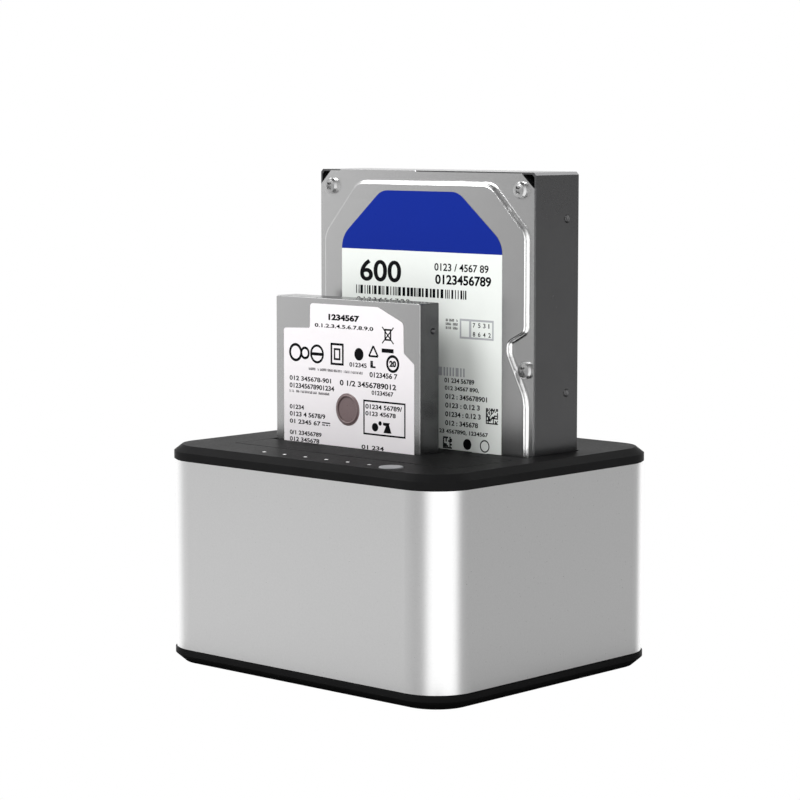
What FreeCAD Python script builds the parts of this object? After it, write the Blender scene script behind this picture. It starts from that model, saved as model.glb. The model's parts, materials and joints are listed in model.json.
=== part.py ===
import FreeCAD, Part
import math
import os

Vec = FreeCAD.Vector

# A two-bay drive duplicator with one 3.5-inch and one 2.5-inch drive standing in it.
# Frame: the origin is on the table under the middle of the housing, +X runs to the right
# along the front, +Y to the rear panel and +Z up.  All sizes are in millimetres.

# ---- housing -------------------------------------------------------------------------
HOUSING_W = 135.6
HOUSING_D = 117.6
CORNER_R = 15.8
FOOT_H = 1.2
BASE_H = 4.9
BASE_BEVEL_H = 3.0
BASE_BEVEL_IN = 3.5
SHELL_H = 67.9
SHELL_INSET = 0.5
SHELL_WALL = 2.0
SHELL_EDGE = 0.35
RIM_H = 2.7
LID_BEVEL_H = 2.2
LID_BEVEL_IN = 2.84
DECK_T = 2.5
FLOOR_T = 2.5
LIP_GAP = 0.15
LIP_T = 1.8
LID_LIP_H = 6.0
BASE_LIP_H = 4.9

Z_BASE = FOOT_H
Z_SHELL = Z_BASE + BASE_H
Z_LID = Z_SHELL + SHELL_H
Z_RIM = Z_LID + RIM_H
Z_DECK = Z_RIM + LID_BEVEL_H
Z_CEILING = Z_DECK - DECK_T
Z_FLOOR = Z_BASE + FLOOR_T
LIP_INSET = SHELL_INSET + SHELL_WALL + LIP_GAP
POCKET_INSET = LIP_INSET + LIP_T

# the four long screws that clamp base, shell and lid together
POST_X = 57.0
POST_Y = 48.0
POST_R = 3.5
POST_FOOT_Z = 12.5
CASE_SCREW_R = 1.5
CASE_SCREW_HEAD_R = 2.8
CASE_SCREW_HEAD_H = 1.8
CASE_SCREW_L = 16.0
COUNTERBORE_Z = 6.2

PILOT_ROOF = 0.6           # how far small pilot holes run above the ceiling
HEAD_CLEAR = 0.3
SHANK_CLEAR = 0.2

FOOT_X = 45.0
FOOT_Y = 33.0
FOOT_R = 6.0
FOOT_SUNK = 0.8
FOOT_EDGE = 0.5

# ---- drives --------------------------------------------------------------------------
DRIVE_LEFT = -47.1
BIG_W = 101.6
BIG_L = 146.1
BIG_T = 25.4
BIG_PLATEAU_H = 1.9
BIG_FLANGE_Y = 3.86
BIG_TOP = Z_DECK + 96.6
BIG_EDGE = 1.0
BIG_SOCKET_OFFSET = 20.68
BIG_COVER_CUT = 5.0        # the cover's cut-off corners, where the casting shows
BIG_CORNER_DROP = 5.0      # how deep the casting is cut away in those corners
BIG_CORNER_WALL = 0.7
PLATEAU_LEAN = 0.35        # how far the plateau's wall leans out, foot to crown
PLATEAU_CROWN_R = 0.6
PLATEAU_FOOT_R = 1.4
BIG_SCREWS = [(6.5, 6.0), (95.7, 6.0), (3.6, 67.3), (98.2, 67.3), (6.5, 140.0), (95.1, 140.0)]
BIG_SCREW_HEAD_R = 2.9
BIG_SCREW_HEAD_H = 2.0
BIG_SCREW_R = 1.3
BIG_SCREW_L = 5.0
BIG_SCREW_BOSS_R = 3.0
BIG_HUB_V = 55.0
BIG_HUB_R = 15.6
BIG_HUB_FLANGE_T = 1.2
BIG_RAIL = 7.0
BIG_BOARD_SINK = 2.6
BIG_BOARD_T = 1.2
BIG_BOARD_TOP_V = 52.0
BIG_BOARD_END_V = BIG_L - 7.6
BIG_BOARD_SCREWS = [(13.5, 57.0), (88.1, 57.0), (13.5, 100.0), (88.1, 100.0), (88.1, 140.5)]
BIG_SIDE_HOLES = [28.5, 70.1, 130.1]
BIG_FACE_HOLES = [41.28, 85.73]
BIG_SIDE_HOLE_IN = 6.35
BIG_FACE_HOLE_IN = 3.175
BIG_HOLE_R = 1.6
BIG_HOLE_DEPTH = 5.0
BIG_LABEL_SPLIT = 28.2
BIG_BASIN_R = 48.0         # the round room for the disks, under the cover
BIG_BASIN_DEPTH = 16.5
BIG_ARM_ROOM = (14.0, 58.0, 96.0, 132.0)
SMALL_W = 69.85
SMALL_L = 100.2
SMALL_T = 9.5
SMALL_FACE_Y = -18.8
SMALL_TOP = Z_DECK + 51.8
COVER_T = 0.6
SMALL_COVER_T = 0.4
SMALL_COVER_IN = 0.1
SMALL_COVER_EDGE = 0.15
SMALL_CORNER_R = 0.5
SMALL_SIDE_HOLES = [14.0, 90.6]
SMALL_SIDE_HOLE_IN = 3.0
SMALL_FACE_HOLE_IN = 4.07
SMALL_HOLE_R = 1.25
SMALL_HOLE_DEPTH = 3.5
SMALL_PAD_R = 3.2
SMALL_BOARD_SINK = 1.8
SMALL_BOARD_T = 0.9
SMALL_BOARD_TOP_V = 46.0
SMALL_BOARD_EDGE = 2.2
SMALL_RAIL = 1.6
SMALL_BOARD_SCREWS = [(6.0, 52.0), (63.85, 52.0), (6.0, 78.0), (63.85, 78.0)]
SMALL_HUB = (35.6, 38.7)
SMALL_HUB_R = 5.74
SMALL_MOTOR_R = 10.8
SMALL_MOTOR_SINK = 0.8
SMALL_BASIN_R = 32.6
SMALL_BASIN_DEPTH = 4.6
SMALL_ARM_ROOM = (8.0, 44.0, 66.0, 88.0)
LABEL_T = 0.12
PLUG_DEPTH = 3.5           # middle of the drive connector, in from the circuit-board face

BIG_FACE_Y = BIG_FLANGE_Y - BIG_PLATEAU_H
BIG_BACK_Y = BIG_FACE_Y + BIG_T
BIG_BOTTOM = BIG_TOP - BIG_L
SMALL_BACK_Y = SMALL_FACE_Y + SMALL_T
SMALL_BOTTOM = SMALL_TOP - SMALL_L
SOCKET_X = DRIVE_LEFT + BIG_W / 2 - BIG_SOCKET_OFFSET
REAR_SOCKET_Y = BIG_BACK_Y - PLUG_DEPTH
FRONT_SOCKET_Y = SMALL_BACK_Y - PLUG_DEPTH

# ---- bays ----------------------------------------------------------------------------
BAY_X0 = -48.4
BAY_X1 = 55.3
BAY_D = 30.3
BAY_CORNER_R = 0.4
BACK_GAP = 1.0
FRAME_WALL = 1.6
FRAME_FLOOR_T = 1.8
FRAME_FLOOR_Z = 28.9       # upper face of the bay floor
REAR_BAY_Y1 = BIG_BACK_Y + BACK_GAP
REAR_BAY_Y0 = REAR_BAY_Y1 - BAY_D
FRONT_BAY_Y1 = SMALL_BACK_Y + BACK_GAP
FRONT_BAY_Y0 = FRONT_BAY_Y1 - BAY_D
EAR_T = 2.0
EAR_TOP = Z_CEILING - 4.0
EAR_SPOTS = [(-54.0, -30.0), (-54.0, 20.0), (60.0, -30.0), (60.0, 20.0)]
EAR_BOSS_R = 2.4
EAR_HALF = 4.0
EAR_REACH = 3.0
GUSSET_DROP = 8.0
GUSSET_T = 1.2
FRAME_CORNER_R = 2.0
SOCKET_SLOT_SPARE = (1.0, 0.6)
SMALL_SCREW_R = 1.1
SMALL_SCREW_HEAD_R = 2.0
SMALL_SCREW_HEAD_H = 1.3
SMALL_SCREW_L = 5.0

# ---- bay doors -----------------------------------------------------------------------
BARREL_R = 1.1
PIN_R = 0.5
PIN_BORE_R = 0.55
PIN_REACH = 3.5
DOOR_SIDE_GAP = 0.3
DOOR_T = 1.7
DOOR_STRIP = 16.85         # hinge axis to the edge in front of a 2.5-inch drive
DOOR_LEAF = 28.75          # hinge axis to the far edge beside a 2.5-inch drive
DOOR_NOTCH_X = SMALL_W + DRIVE_LEFT + 0.75
DOOR_CORNER_R = 1.0
DOOR_LEAN = 87.6           # a drive holds the rear door this far open
HINGE_Z = Z_DECK - BARREL_R
FRONT_HINGE_Y = FRONT_BAY_Y0 + 0.15 + BARREL_R
REAR_HINGE_Y = REAR_BAY_Y0 + 0.15 + BARREL_R
SPRING_X = 30.0
SPRING_L = 7.0
SPRING_WIRE = 0.4
SPRING_END = 0.5           # from the seat's side to the first turn
SPRING_TURN_GAP = 0.12
SPRING_RING_GAP = 0.08
SPRING_LEG = (0.1, 9.0)
SPRING_SEAT_SPARE = 0.6

# ---- boards and sockets --------------------------------------------------------------
BOARD_T = 1.6
BOARD_Z = 23.7             # upper face of the main board
BOARD_X = 52.0
BOARD_Y0 = -30.0
BOARD_Y1 = 54.0
BOARD_SCREWS = [(-46.0, -25.0), (46.0, -25.0), (-46.0, 34.0), (46.0, 34.0)]
STANDOFF_R = 3.0
STANDOFF_PILOT = 8.0
BOARD_CORNER_R = 2.0
SOCKET_W = 37.8
SOCKET_T = 4.4
SOCKET_TOP = 34.2
SOCKET_FLANGE_W = 41.0
SOCKET_FLANGE_T = 6.4
SOCKET_FLANGE_H = 2.6
SOCKET_CORNER_R = 0.6
SOCKET_FLANGE_R = 1.0
SLOT_BELOW_TIP = 1.2
PLUG_W = 42.0
PLUG_T = 7.0
PLUG_CAVITY_W = 38.6
PLUG_CAVITY_T = 5.0
PLUG_CEILING = SOCKET_TOP + 0.75
PLUG_TOP = PLUG_CEILING + 2.0
BLADE_T = 1.2
BLADE_TIP = PLUG_CEILING - 4.2
BLADES = [(-16.65, 3.95), (6.35, 16.65)]
BLADE_CLEAR = 0.2
CONTACT_PITCH = 1.27
CONTACT_W = 0.6
CONTACT_T = 0.15
CONTACT_SUNK = 0.6

# x, y, half width, half depth and height of each part on the main board
CHIPS = [
    (14.0, 2.0, 7.0, 7.0, 1.2), (32.0, 6.0, 2.6, 2.0, 1.4), (-38.0, 2.0, 2.6, 2.0, 1.4),
    (36.0, -14.0, 2.6, 2.0, 1.4), (-16.0, 37.0, 2.6, 2.0, 1.4), (13.0, 36.0, 3.0, 3.0, 1.0),
]
CHIP_EDGE = 0.3
CANS = [(-42.0, 42.0), (-14.0, 45.0), (12.0, 46.0), (39.0, 45.0)]
CAN_PLINTH = 3.3
CAN_PLINTH_H = 1.2
CHOKES = [(-38.0, 50.0), (38.0, 36.0)]
CHOKE_HALF = 3.4
CHOKE_H = 3.6
CRYSTAL = (-4.8, 6.2, 31.3, 35.7)
CRYSTAL_H = 3.0
CRYSTAL_RIM = 0.5
CRYSTAL_RIM_H = 0.4

# ---- front controls ------------------------------------------------------------------
CONTROL_PITCH = 10.0
BUTTON_X = 37.6
BUTTON_Y = -49.3
BUTTON_R = 4.15
BUTTON_PROUD = 0.3
BUTTON_FLANGE_R = 4.9
BUTTON_GAP = 0.2
BUTTON_TRAVEL = 0.5
BUTTON_EDGE = 0.35
BUTTON_STEM_R = 1.5
BUTTON_FLANGE_T = 0.8
LIGHT_COUNT = 6
LIGHT_R = 0.7
LIGHT_COLLAR = 0.5
LIGHT_COLLAR_H = 0.8
LIGHT_CHIP = (0.8, 0.5, 0.8)
PANEL_BOARD_TOP = 70.2
PANEL_BOARD_T = 1.6
PANEL_BOARD = (-30.0, 48.0, -53.5, -43.0)
PANEL_SCREWS = [(-27.0, -46.0), (45.2, -46.0)]
SWITCH_W = 6.0
SWITCH_H = 3.3
SWITCH_LID_T = 0.6
SWITCH_RIVET = (0.45, 2.2, 0.15)
PLUNGER_R = 1.65
PLUNGER_TOP = Z_CEILING - 1.2

CABLE_X0 = 3.5
CABLE_X1 = 12.5
CABLE_T = 0.4
CABLE_Y = -47.0
CABLE_BEND_R = 4.0
CABLE_Z = BOARD_Z + 1.3
HEADER_H = 2.6
HEADER_D = 5.0
HEADER_END = 1.5
HEADER_Y = -29.0

# ---- rear panel ----------------------------------------------------------------------
WINDOW_X = 40.0
WINDOW_Z0 = 18.0
WINDOW_Z1 = 41.0
WINDOW_R = 3.0
PANEL_FLANGE = 3.0
PANEL_T = 1.5
PANEL_SINK = 0.5
SHELL_BACK_Y = HOUSING_D / 2 - SHELL_INSET
SHELL_INNER_Y = SHELL_BACK_Y - SHELL_WALL
PANEL_FACE_Y = SHELL_BACK_Y - PANEL_SINK
PANEL_BACK_Y = SHELL_INNER_Y - PANEL_T
PANEL_RIB_TOP = 20.0
PANEL_RIB_X = 36.0
PANEL_RIB_HALF = 3.0
JACK_X = -27.0
JACK_Z = BOARD_Z + 6.4
JACK_R = 3.15
JACK_NOSE_R = 4.2
JACK_HALF_W = 4.5
JACK_H = 11.0
JACK_BACK_Y = 41.5
JACK_DEPTH = 10.0
JACK_PIN_R = 1.0
JACK_PIN_SUNK = 0.8
PORT_X = -2.0
PORT_W = 12.0
PORT_H = 10.7
PORT_BACK_Y = 40.0
PORT_DEPTH = 9.0
PORT_FLOOR = 0.7
PORT_CORNER_R = 0.5
ROCKER_X = 25.0
ROCKER_Z = 29.3
ROCKER_PIVOT_Y = 54.4
ROCKER_HALF_W = 5.2
ROCKER_HALF_H = 3.0
ROCKER_TILT = 8.0
ROCKER_BEZEL = (7.5, 5.2, 0.9)
ROCKER_BODY = (6.7, 4.2)
ROCKER_BODY_BACK_Y = 42.0
ROCKER_WELL_Y = 50.5
ROCKER_SIDE_GAP = 0.55
ROCKER_END_GAP = 0.2
TRUNNION_R = 0.8
TRUNNION_REACH = 3.8
TRUNNION_GAP = (0.05, 0.1)
TAG_XS = (-4.5, 0.0, 4.5)
TAG = (0.4, 3.5, 1.6)


# ---- shape helpers -------------------------------------------------------------------
def block(x0, x1, y0, y1, z0, z1):
    return Part.makeBox(x1 - x0, y1 - y0, z1 - z0, Vec(x0, y0, z0))


def rod(radius, start, end):
    run = end - start
    return Part.makeCylinder(radius, run.Length, start, run)


def upright(radius, x, y, z0, z1):
    return rod(radius, Vec(x, y, z0), Vec(x, y, z1))


def level(z):
    """Draws an outline flat, at height z."""
    return lambda a, b: Vec(a, b, z)


def facing(y):
    """Draws an outline upright, facing the front, at depth y."""
    return lambda a, b: Vec(a, y, b)


def rounded_loop(corners, place):
    """A closed wire through corners (a, b, radius), each rounded by a tangent arc."""
    arcs = []
    for i, (a, b, radius) in enumerate(corners):
        here = Vec(a, b, 0)
        before = corners[i - 1]
        after = corners[(i + 1) % len(corners)]
        back = (Vec(before[0], before[1], 0) - here).normalize()
        ahead = (Vec(after[0], after[1], 0) - here).normalize()
        half = back.getAngle(ahead) / 2
        reach = radius / math.tan(half)
        inward = (back + ahead).normalize()
        middle = here + inward * (radius / math.sin(half) - radius)
        arcs.append((here + back * reach, middle, here + ahead * reach, radius))
    edges = []
    for i, (start, middle, end, radius) in enumerate(arcs):
        start, middle, end = (place(p.x, p.y) for p in (start, middle, end))
        if radius:
            edges.append(Part.Arc(start, middle, end).toShape())
        following = arcs[(i + 1) % len(arcs)][0]
        following = place(following.x, following.y)
        if (following - end).Length > 1e-6:
            edges.append(Part.LineSegment(end, following).toShape())
    return Part.Wire(edges)


def prism(corners, place, run):
    return Part.Face(rounded_loop(corners, place)).extrude(run)


def rectangle(a0, a1, b0, b1, radius):
    return [(a0, b0, radius), (a1, b0, radius), (a1, b1, radius), (a0, b1, radius)]


def outline(inset):
    """The housing's rounded-rectangle outline, pulled in all round by inset."""
    x = HOUSING_W / 2 - inset
    y = HOUSING_D / 2 - inset
    return rectangle(-x, x, -y, y, CORNER_R - inset)


def slab(inset, z0, z1):
    return prism(outline(inset), level(z0), Vec(0, 0, z1 - z0))


def bevel_slab(inset0, z0, inset1, z1):
    """A slab whose outline changes evenly from inset0 at z0 to inset1 at z1."""
    ends = [rounded_loop(outline(inset0), level(z0)), rounded_loop(outline(inset1), level(z1))]
    return Part.makeLoft(ends, True, True)


def fuse(shapes):
    return shapes[0].fuse(shapes[1:]).removeSplitter()


def carve(shape, tools):
    return shape.cut(tools).removeSplitter()


def seat(shape, at, axis):
    """Moves a shape drawn along +Z at the origin so that it stands at a point, along axis."""
    placed = shape.copy()
    placed.Placement = FreeCAD.Placement(at, FreeCAD.Rotation(Vec(0, 0, 1), axis))
    return placed


def revolved(profile):
    """Turns a closed (radius, z) profile about the Z axis."""
    points = [Vec(r, 0, z) for r, z in profile]
    face = Part.Face(Part.makePolygon(points + points[:1]))
    return face.revolve(Vec(0, 0, 0), Vec(0, 0, 1), 360)


def screw(head_r, head_h, shank_r, length, bars):
    """A pan-head screw: shank up +Z from 0, domed head below 0, a recess of crossed bars."""
    rim = head_r * 0.82
    profile = [(0, length), (shank_r, length), (shank_r, 0), (head_r, 0), (head_r, -head_h * 0.45)]
    profile += [(rim, -head_h * 0.86), (head_r * 0.4, -head_h), (0, -head_h)]
    body = revolved(profile)
    recess = []
    for i in range(bars):
        bar = block(-rim * 0.6, rim * 0.6, -head_r * 0.13, head_r * 0.13, -head_h, -head_h * 0.35)
        bar.rotate(Vec(0, 0, 0), Vec(0, 0, 1), 180.0 * i / bars)
        recess.append(bar)
    return body.cut(recess)


def group(shapes):
    return Part.makeCompound(shapes)


def mirrored_spots(x, y):
    return [(sx * x, sy * y) for sx in (-1, 1) for sy in (-1, 1)]


# ---- housing -------------------------------------------------------------------------
def make_shell():
    body = slab(SHELL_INSET, Z_SHELL, Z_LID)
    rims = [e for e in body.Edges if e.BoundBox.ZLength < 1e-6]
    body = body.makeChamfer(SHELL_EDGE, rims)
    window = prism(
        rectangle(-WINDOW_X, WINDOW_X, WINDOW_Z0, WINDOW_Z1, WINDOW_R),
        facing(SHELL_INNER_Y - 1),
        Vec(0, SHELL_WALL + 2, 0),
    )
    return carve(body, [slab(SHELL_INSET + SHELL_WALL, Z_SHELL, Z_LID), window])


def make_lid():
    parts = [slab(0, Z_LID, Z_RIM)]
    parts.append(bevel_slab(0, Z_RIM, LID_BEVEL_IN, Z_DECK))
    parts.append(slab(LIP_INSET, Z_LID - LID_LIP_H, Z_LID))
    lid = fuse(parts)
    lid = carve(lid, [slab(POCKET_INSET, Z_LID - LID_LIP_H, Z_CEILING)])
    posts = [upright(POST_R, x, y, POST_FOOT_Z, Z_CEILING) for x, y in mirrored_spots(POST_X, POST_Y)]
    posts += [upright(EAR_BOSS_R, x, y, EAR_TOP, Z_CEILING) for x, y in EAR_SPOTS]
    posts += [upright(EAR_BOSS_R, x, y, PANEL_BOARD_TOP, Z_CEILING) for x, y in PANEL_SCREWS]
    lid = fuse([lid] + posts)

    cuts = []
    for y0 in (FRONT_BAY_Y0, REAR_BAY_Y0):
        opening = rectangle(BAY_X0, BAY_X1, y0, y0 + BAY_D, BAY_CORNER_R)
        cuts.append(prism(opening, level(Z_CEILING), Vec(0, 0, DECK_T)))
    for hinge_y in (FRONT_HINGE_Y, REAR_HINGE_Y):
        cuts.append(hinge_pin(hinge_y))
    cuts.append(upright(BUTTON_R + BUTTON_GAP, BUTTON_X, BUTTON_Y, Z_CEILING, Z_DECK))
    for x in light_places():
        cuts.append(upright(LIGHT_R, x, BUTTON_Y, Z_CEILING, Z_DECK))
    for x, y in mirrored_spots(POST_X, POST_Y):
        cuts.append(upright(CASE_SCREW_R, x, y, POST_FOOT_Z, POST_FOOT_Z + CASE_SCREW_L))
    for x, y in EAR_SPOTS:
        cuts.append(upright(SMALL_SCREW_R, x, y, EAR_TOP, Z_CEILING + PILOT_ROOF))
    for x, y in PANEL_SCREWS:
        cuts.append(upright(SMALL_SCREW_R, x, y, PANEL_BOARD_TOP, Z_CEILING + PILOT_ROOF))
    return carve(lid, cuts)


def make_base():
    z_bevel = Z_BASE + BASE_BEVEL_H
    parts = [bevel_slab(BASE_BEVEL_IN, Z_BASE, 0, z_bevel)]
    parts.append(slab(0, z_bevel, Z_SHELL))
    parts.append(slab(LIP_INSET, Z_SHELL, Z_SHELL + BASE_LIP_H))
    base = carve(fuse(parts), [slab(POCKET_INSET, Z_FLOOR, Z_SHELL + BASE_LIP_H)])
    posts = [upright(POST_R, x, y, Z_FLOOR, POST_FOOT_Z) for x, y in mirrored_spots(POST_X, POST_Y)]
    posts += [upright(STANDOFF_R, x, y, Z_FLOOR, BOARD_Z - BOARD_T) for x, y in BOARD_SCREWS]
    for x in (-PANEL_RIB_X, PANEL_RIB_X):
        half = PANEL_RIB_HALF
        posts.append(block(x - half, x + half, PANEL_BACK_Y - half, PANEL_BACK_Y, Z_FLOOR, PANEL_RIB_TOP))
    base = fuse([base] + posts)
    cuts = []
    for x, y in mirrored_spots(POST_X, POST_Y):
        cuts.append(upright(CASE_SCREW_HEAD_R + HEAD_CLEAR, x, y, Z_BASE, COUNTERBORE_Z))
        cuts.append(upright(CASE_SCREW_R + SHANK_CLEAR, x, y, Z_BASE, POST_FOOT_Z))
    for x, y in mirrored_spots(FOOT_X, FOOT_Y):
        cuts.append(upright(FOOT_R, x, y, Z_BASE, Z_BASE + FOOT_SUNK))
    for x, y in BOARD_SCREWS:
        cuts.append(upright(SMALL_SCREW_R, x, y, Z_FLOOR + STANDOFF_PILOT, BOARD_Z - BOARD_T))
    return carve(base, cuts)


def make_feet():
    top = FOOT_H + FOOT_SUNK
    profile = [(0, 0), (FOOT_R - FOOT_EDGE, 0), (FOOT_R, FOOT_EDGE), (FOOT_R, top), (0, top)]
    foot = revolved(profile)
    return group([seat(foot, Vec(x, y, 0), Vec(0, 0, 1)) for x, y in mirrored_spots(FOOT_X, FOOT_Y)])


def make_case_screws():
    one = screw(CASE_SCREW_HEAD_R, CASE_SCREW_HEAD_H, CASE_SCREW_R, CASE_SCREW_L, 2)
    spots = mirrored_spots(POST_X, POST_Y)
    return group([seat(one, Vec(x, y, COUNTERBORE_Z), Vec(0, 0, 1)) for x, y in spots])


# ---- bay frame and doors -------------------------------------------------------------
def make_bay_frame():
    x0 = BAY_X0 - FRAME_WALL
    x1 = BAY_X1 + FRAME_WALL
    y0 = FRONT_BAY_Y0 - FRAME_WALL
    y1 = REAR_BAY_Y1 + FRAME_WALL
    bottom = FRAME_FLOOR_Z - FRAME_FLOOR_T
    tub = rectangle(x0, x1, y0, y1, FRAME_CORNER_R)
    parts = [prism(tub, level(bottom), Vec(0, 0, Z_CEILING - bottom))]
    for x, y in EAR_SPOTS:
        inner = x0 if x < 0 else x1
        outer = x + math.copysign(EAR_REACH, x)
        left = min(inner, outer)
        right = max(inner, outer)
        under = EAR_TOP - EAR_T
        parts.append(block(left, right, y - EAR_HALF, y + EAR_HALF, under, EAR_TOP))
        gusset = [(inner, under, 0), (outer, under, 0), (inner, under - GUSSET_DROP, 0)]
        for rib_y in (y - EAR_HALF, y + EAR_HALF - GUSSET_T):
            parts.append(prism(gusset, facing(rib_y), Vec(0, GUSSET_T, 0)))
    cuts = []
    for bay_y in (FRONT_BAY_Y0, REAR_BAY_Y0):
        well = rectangle(BAY_X0, BAY_X1, bay_y, bay_y + BAY_D, BAY_CORNER_R)
        cuts.append(prism(well, level(FRAME_FLOOR_Z), Vec(0, 0, Z_CEILING - FRAME_FLOOR_Z)))
    gap_y0 = FRONT_BAY_Y1 + FRAME_WALL
    gap_y1 = REAR_BAY_Y0 - FRAME_WALL
    cuts.append(block(BAY_X0, BAY_X1, gap_y0, gap_y1, bottom, Z_CEILING - FRAME_WALL))
    half_w = SOCKET_FLANGE_W / 2 + SOCKET_SLOT_SPARE[0]
    half_t = SOCKET_T / 2 + SOCKET_SLOT_SPARE[1]
    for y in (FRONT_SOCKET_Y, REAR_SOCKET_Y):
        slot = rectangle(SOCKET_X - half_w, SOCKET_X + half_w, y - half_t, y + half_t, 1.0)
        cuts.append(prism(slot, level(bottom), Vec(0, 0, FRAME_FLOOR_T)))
    for x, y in EAR_SPOTS:
        cuts.append(upright(SMALL_SCREW_R + SHANK_CLEAR, x, y, EAR_TOP - EAR_T, EAR_TOP))
    return carve(fuse(parts), cuts)


def door_shape():
    """A closed bay door with its hinge axis on the X axis: an L-shaped leaf on a barrel."""
    x0 = BAY_X0 + DOOR_SIDE_GAP
    x1 = BAY_X1 - DOOR_SIDE_GAP
    radius = DOOR_CORNER_R
    leaf = [(x0, 0, 0), (x1, 0, 0), (x1, DOOR_LEAF, radius), (DOOR_NOTCH_X, DOOR_LEAF, radius)]
    leaf += [(DOOR_NOTCH_X, DOOR_STRIP, radius), (x0, DOOR_STRIP, radius)]
    plate = prism(leaf, level(BARREL_R - DOOR_T), Vec(0, 0, DOOR_T))
    barrel = rod(BARREL_R, Vec(x0, 0, 0), Vec(x1, 0, 0))
    door = fuse([plate, barrel])
    bore = rod(PIN_BORE_R, Vec(x0, 0, 0), Vec(x1, 0, 0))
    skin = 0.01
    seat_end = SPRING_X + SPRING_L + SPRING_SEAT_SPARE
    spring_seat = block(
        SPRING_X, seat_end, -BARREL_R, BARREL_R + SPRING_WIRE, -BARREL_R, BARREL_R - skin
    )
    return carve(door, [bore, spring_seat])


def hang(shape, hinge_y, opened):
    """Puts a shape drawn at a door's hinge axis in its place, swung down by opened degrees."""
    placed = shape.copy()
    placed.rotate(Vec(0, 0, 0), Vec(1, 0, 0), -opened)
    placed.translate(Vec(0, hinge_y, HINGE_Z))
    return placed


def hinge_pin(hinge_y):
    left = Vec(BAY_X0 - PIN_REACH, hinge_y, HINGE_Z)
    right = Vec(BAY_X1 + PIN_REACH, hinge_y, HINGE_Z)
    return rod(PIN_R, left, right)


def make_hinge_pins():
    return group([hinge_pin(FRONT_HINGE_Y), hinge_pin(REAR_HINGE_Y)])


def spring_shape():
    """A torsion spring round the hinge pin: close turns, and one leg along the door's underside."""
    wire_r = SPRING_WIRE / 2
    ring_r = PIN_R + SPRING_RING_GAP + wire_r
    pitch = SPRING_WIRE + SPRING_TURN_GAP
    first = SPRING_X + SPRING_END
    turns = []
    for i in range(int(SPRING_L / pitch)):
        turns.append(Part.makeTorus(ring_r, wire_r, Vec(first + i * pitch, 0, 0), Vec(1, 0, 0)))
    leg_z = BARREL_R - DOOR_T - wire_r
    start, end = (Vec(first, y, leg_z) for y in SPRING_LEG)
    turns[0] = turns[0].fuse(rod(wire_r, start, end))
    return group(turns)


# ---- boards and sockets --------------------------------------------------------------
def make_main_board():
    sheet = rectangle(-BOARD_X, BOARD_X, BOARD_Y0, BOARD_Y1, BOARD_CORNER_R)
    bottom = BOARD_Z - BOARD_T
    board = prism(sheet, level(bottom), Vec(0, 0, BOARD_T))
    shank = SMALL_SCREW_R + SHANK_CLEAR
    return carve(board, [upright(shank, x, y, bottom, BOARD_Z) for x, y in BOARD_SCREWS])


def make_screws(spots, z, up):
    """Small screws with the head's seat at height z, driven upwards or downwards."""
    one = screw(SMALL_SCREW_HEAD_R, SMALL_SCREW_HEAD_H, SMALL_SCREW_R, SMALL_SCREW_L, 2)
    axis = Vec(0, 0, 1 if up else -1)
    return group([seat(one, Vec(x, y, z), axis) for x, y in spots])


def make_socket(y):
    """A board-mounted drive socket: two slots for the drive's data and power blades."""
    half_w = SOCKET_W / 2
    half_t = SOCKET_T / 2
    outer = rectangle(SOCKET_X - half_w, SOCKET_X + half_w, y - half_t, y + half_t, SOCKET_CORNER_R)
    tower = prism(outer, level(BOARD_Z), Vec(0, 0, SOCKET_TOP - BOARD_Z))
    half_w = SOCKET_FLANGE_W / 2
    half_t = SOCKET_FLANGE_T / 2
    outer = rectangle(SOCKET_X - half_w, SOCKET_X + half_w, y - half_t, y + half_t, SOCKET_FLANGE_R)
    flange = prism(outer, level(BOARD_Z), Vec(0, 0, SOCKET_FLANGE_H))
    half = BLADE_T / 2 + BLADE_CLEAR
    bottom = BLADE_TIP - SLOT_BELOW_TIP
    slots = []
    for x0, x1 in BLADES:
        left = SOCKET_X + x0 - BLADE_CLEAR
        right = SOCKET_X + x1 + BLADE_CLEAR
        slots.append(block(left, right, y - half, y + half + CONTACT_T, bottom, SOCKET_TOP))
    return carve(fuse([tower, flange]), slots)


def make_socket_contacts():
    """Gold fingers standing in the back of every socket slot."""
    bottom = BLADE_TIP - SLOT_BELOW_TIP
    top = SOCKET_TOP - CONTACT_SUNK
    half = CONTACT_W / 2
    fingers = []
    for socket_y in (FRONT_SOCKET_Y, REAR_SOCKET_Y):
        back = socket_y + BLADE_T / 2 + BLADE_CLEAR
        for x0, x1 in BLADES:
            count = int((x1 - x0 - 1.0) / CONTACT_PITCH)
            first = SOCKET_X + (x0 + x1) / 2 - CONTACT_PITCH * (count - 1) / 2
            for i in range(count):
                x = first + i * CONTACT_PITCH
                fingers.append(block(x - half, x + half, back, back + CONTACT_T, bottom, top))
    return group(fingers)


def plug_room(y, width, thickness, bottom, top):
    """A box round a drive connector's middle line."""
    half_w = width / 2
    half_t = thickness / 2
    return block(SOCKET_X - half_w, SOCKET_X + half_w, y - half_t, y + half_t, bottom, top)


def make_plug(socket_y, bottom):
    """A drive's own connector: two blades in a shroud that the dock's socket enters."""
    shroud = plug_room(socket_y, PLUG_W, PLUG_T, bottom, PLUG_TOP)
    cavity = plug_room(socket_y, PLUG_CAVITY_W, PLUG_CAVITY_T, bottom, PLUG_CEILING)
    half = BLADE_T / 2
    blades = []
    for x0, x1 in BLADES:
        left = SOCKET_X + x0
        right = SOCKET_X + x1
        blades.append(block(left, right, socket_y - half, socket_y + half, BLADE_TIP, PLUG_CEILING))
    return fuse([shroud.cut(cavity)] + blades)


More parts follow.
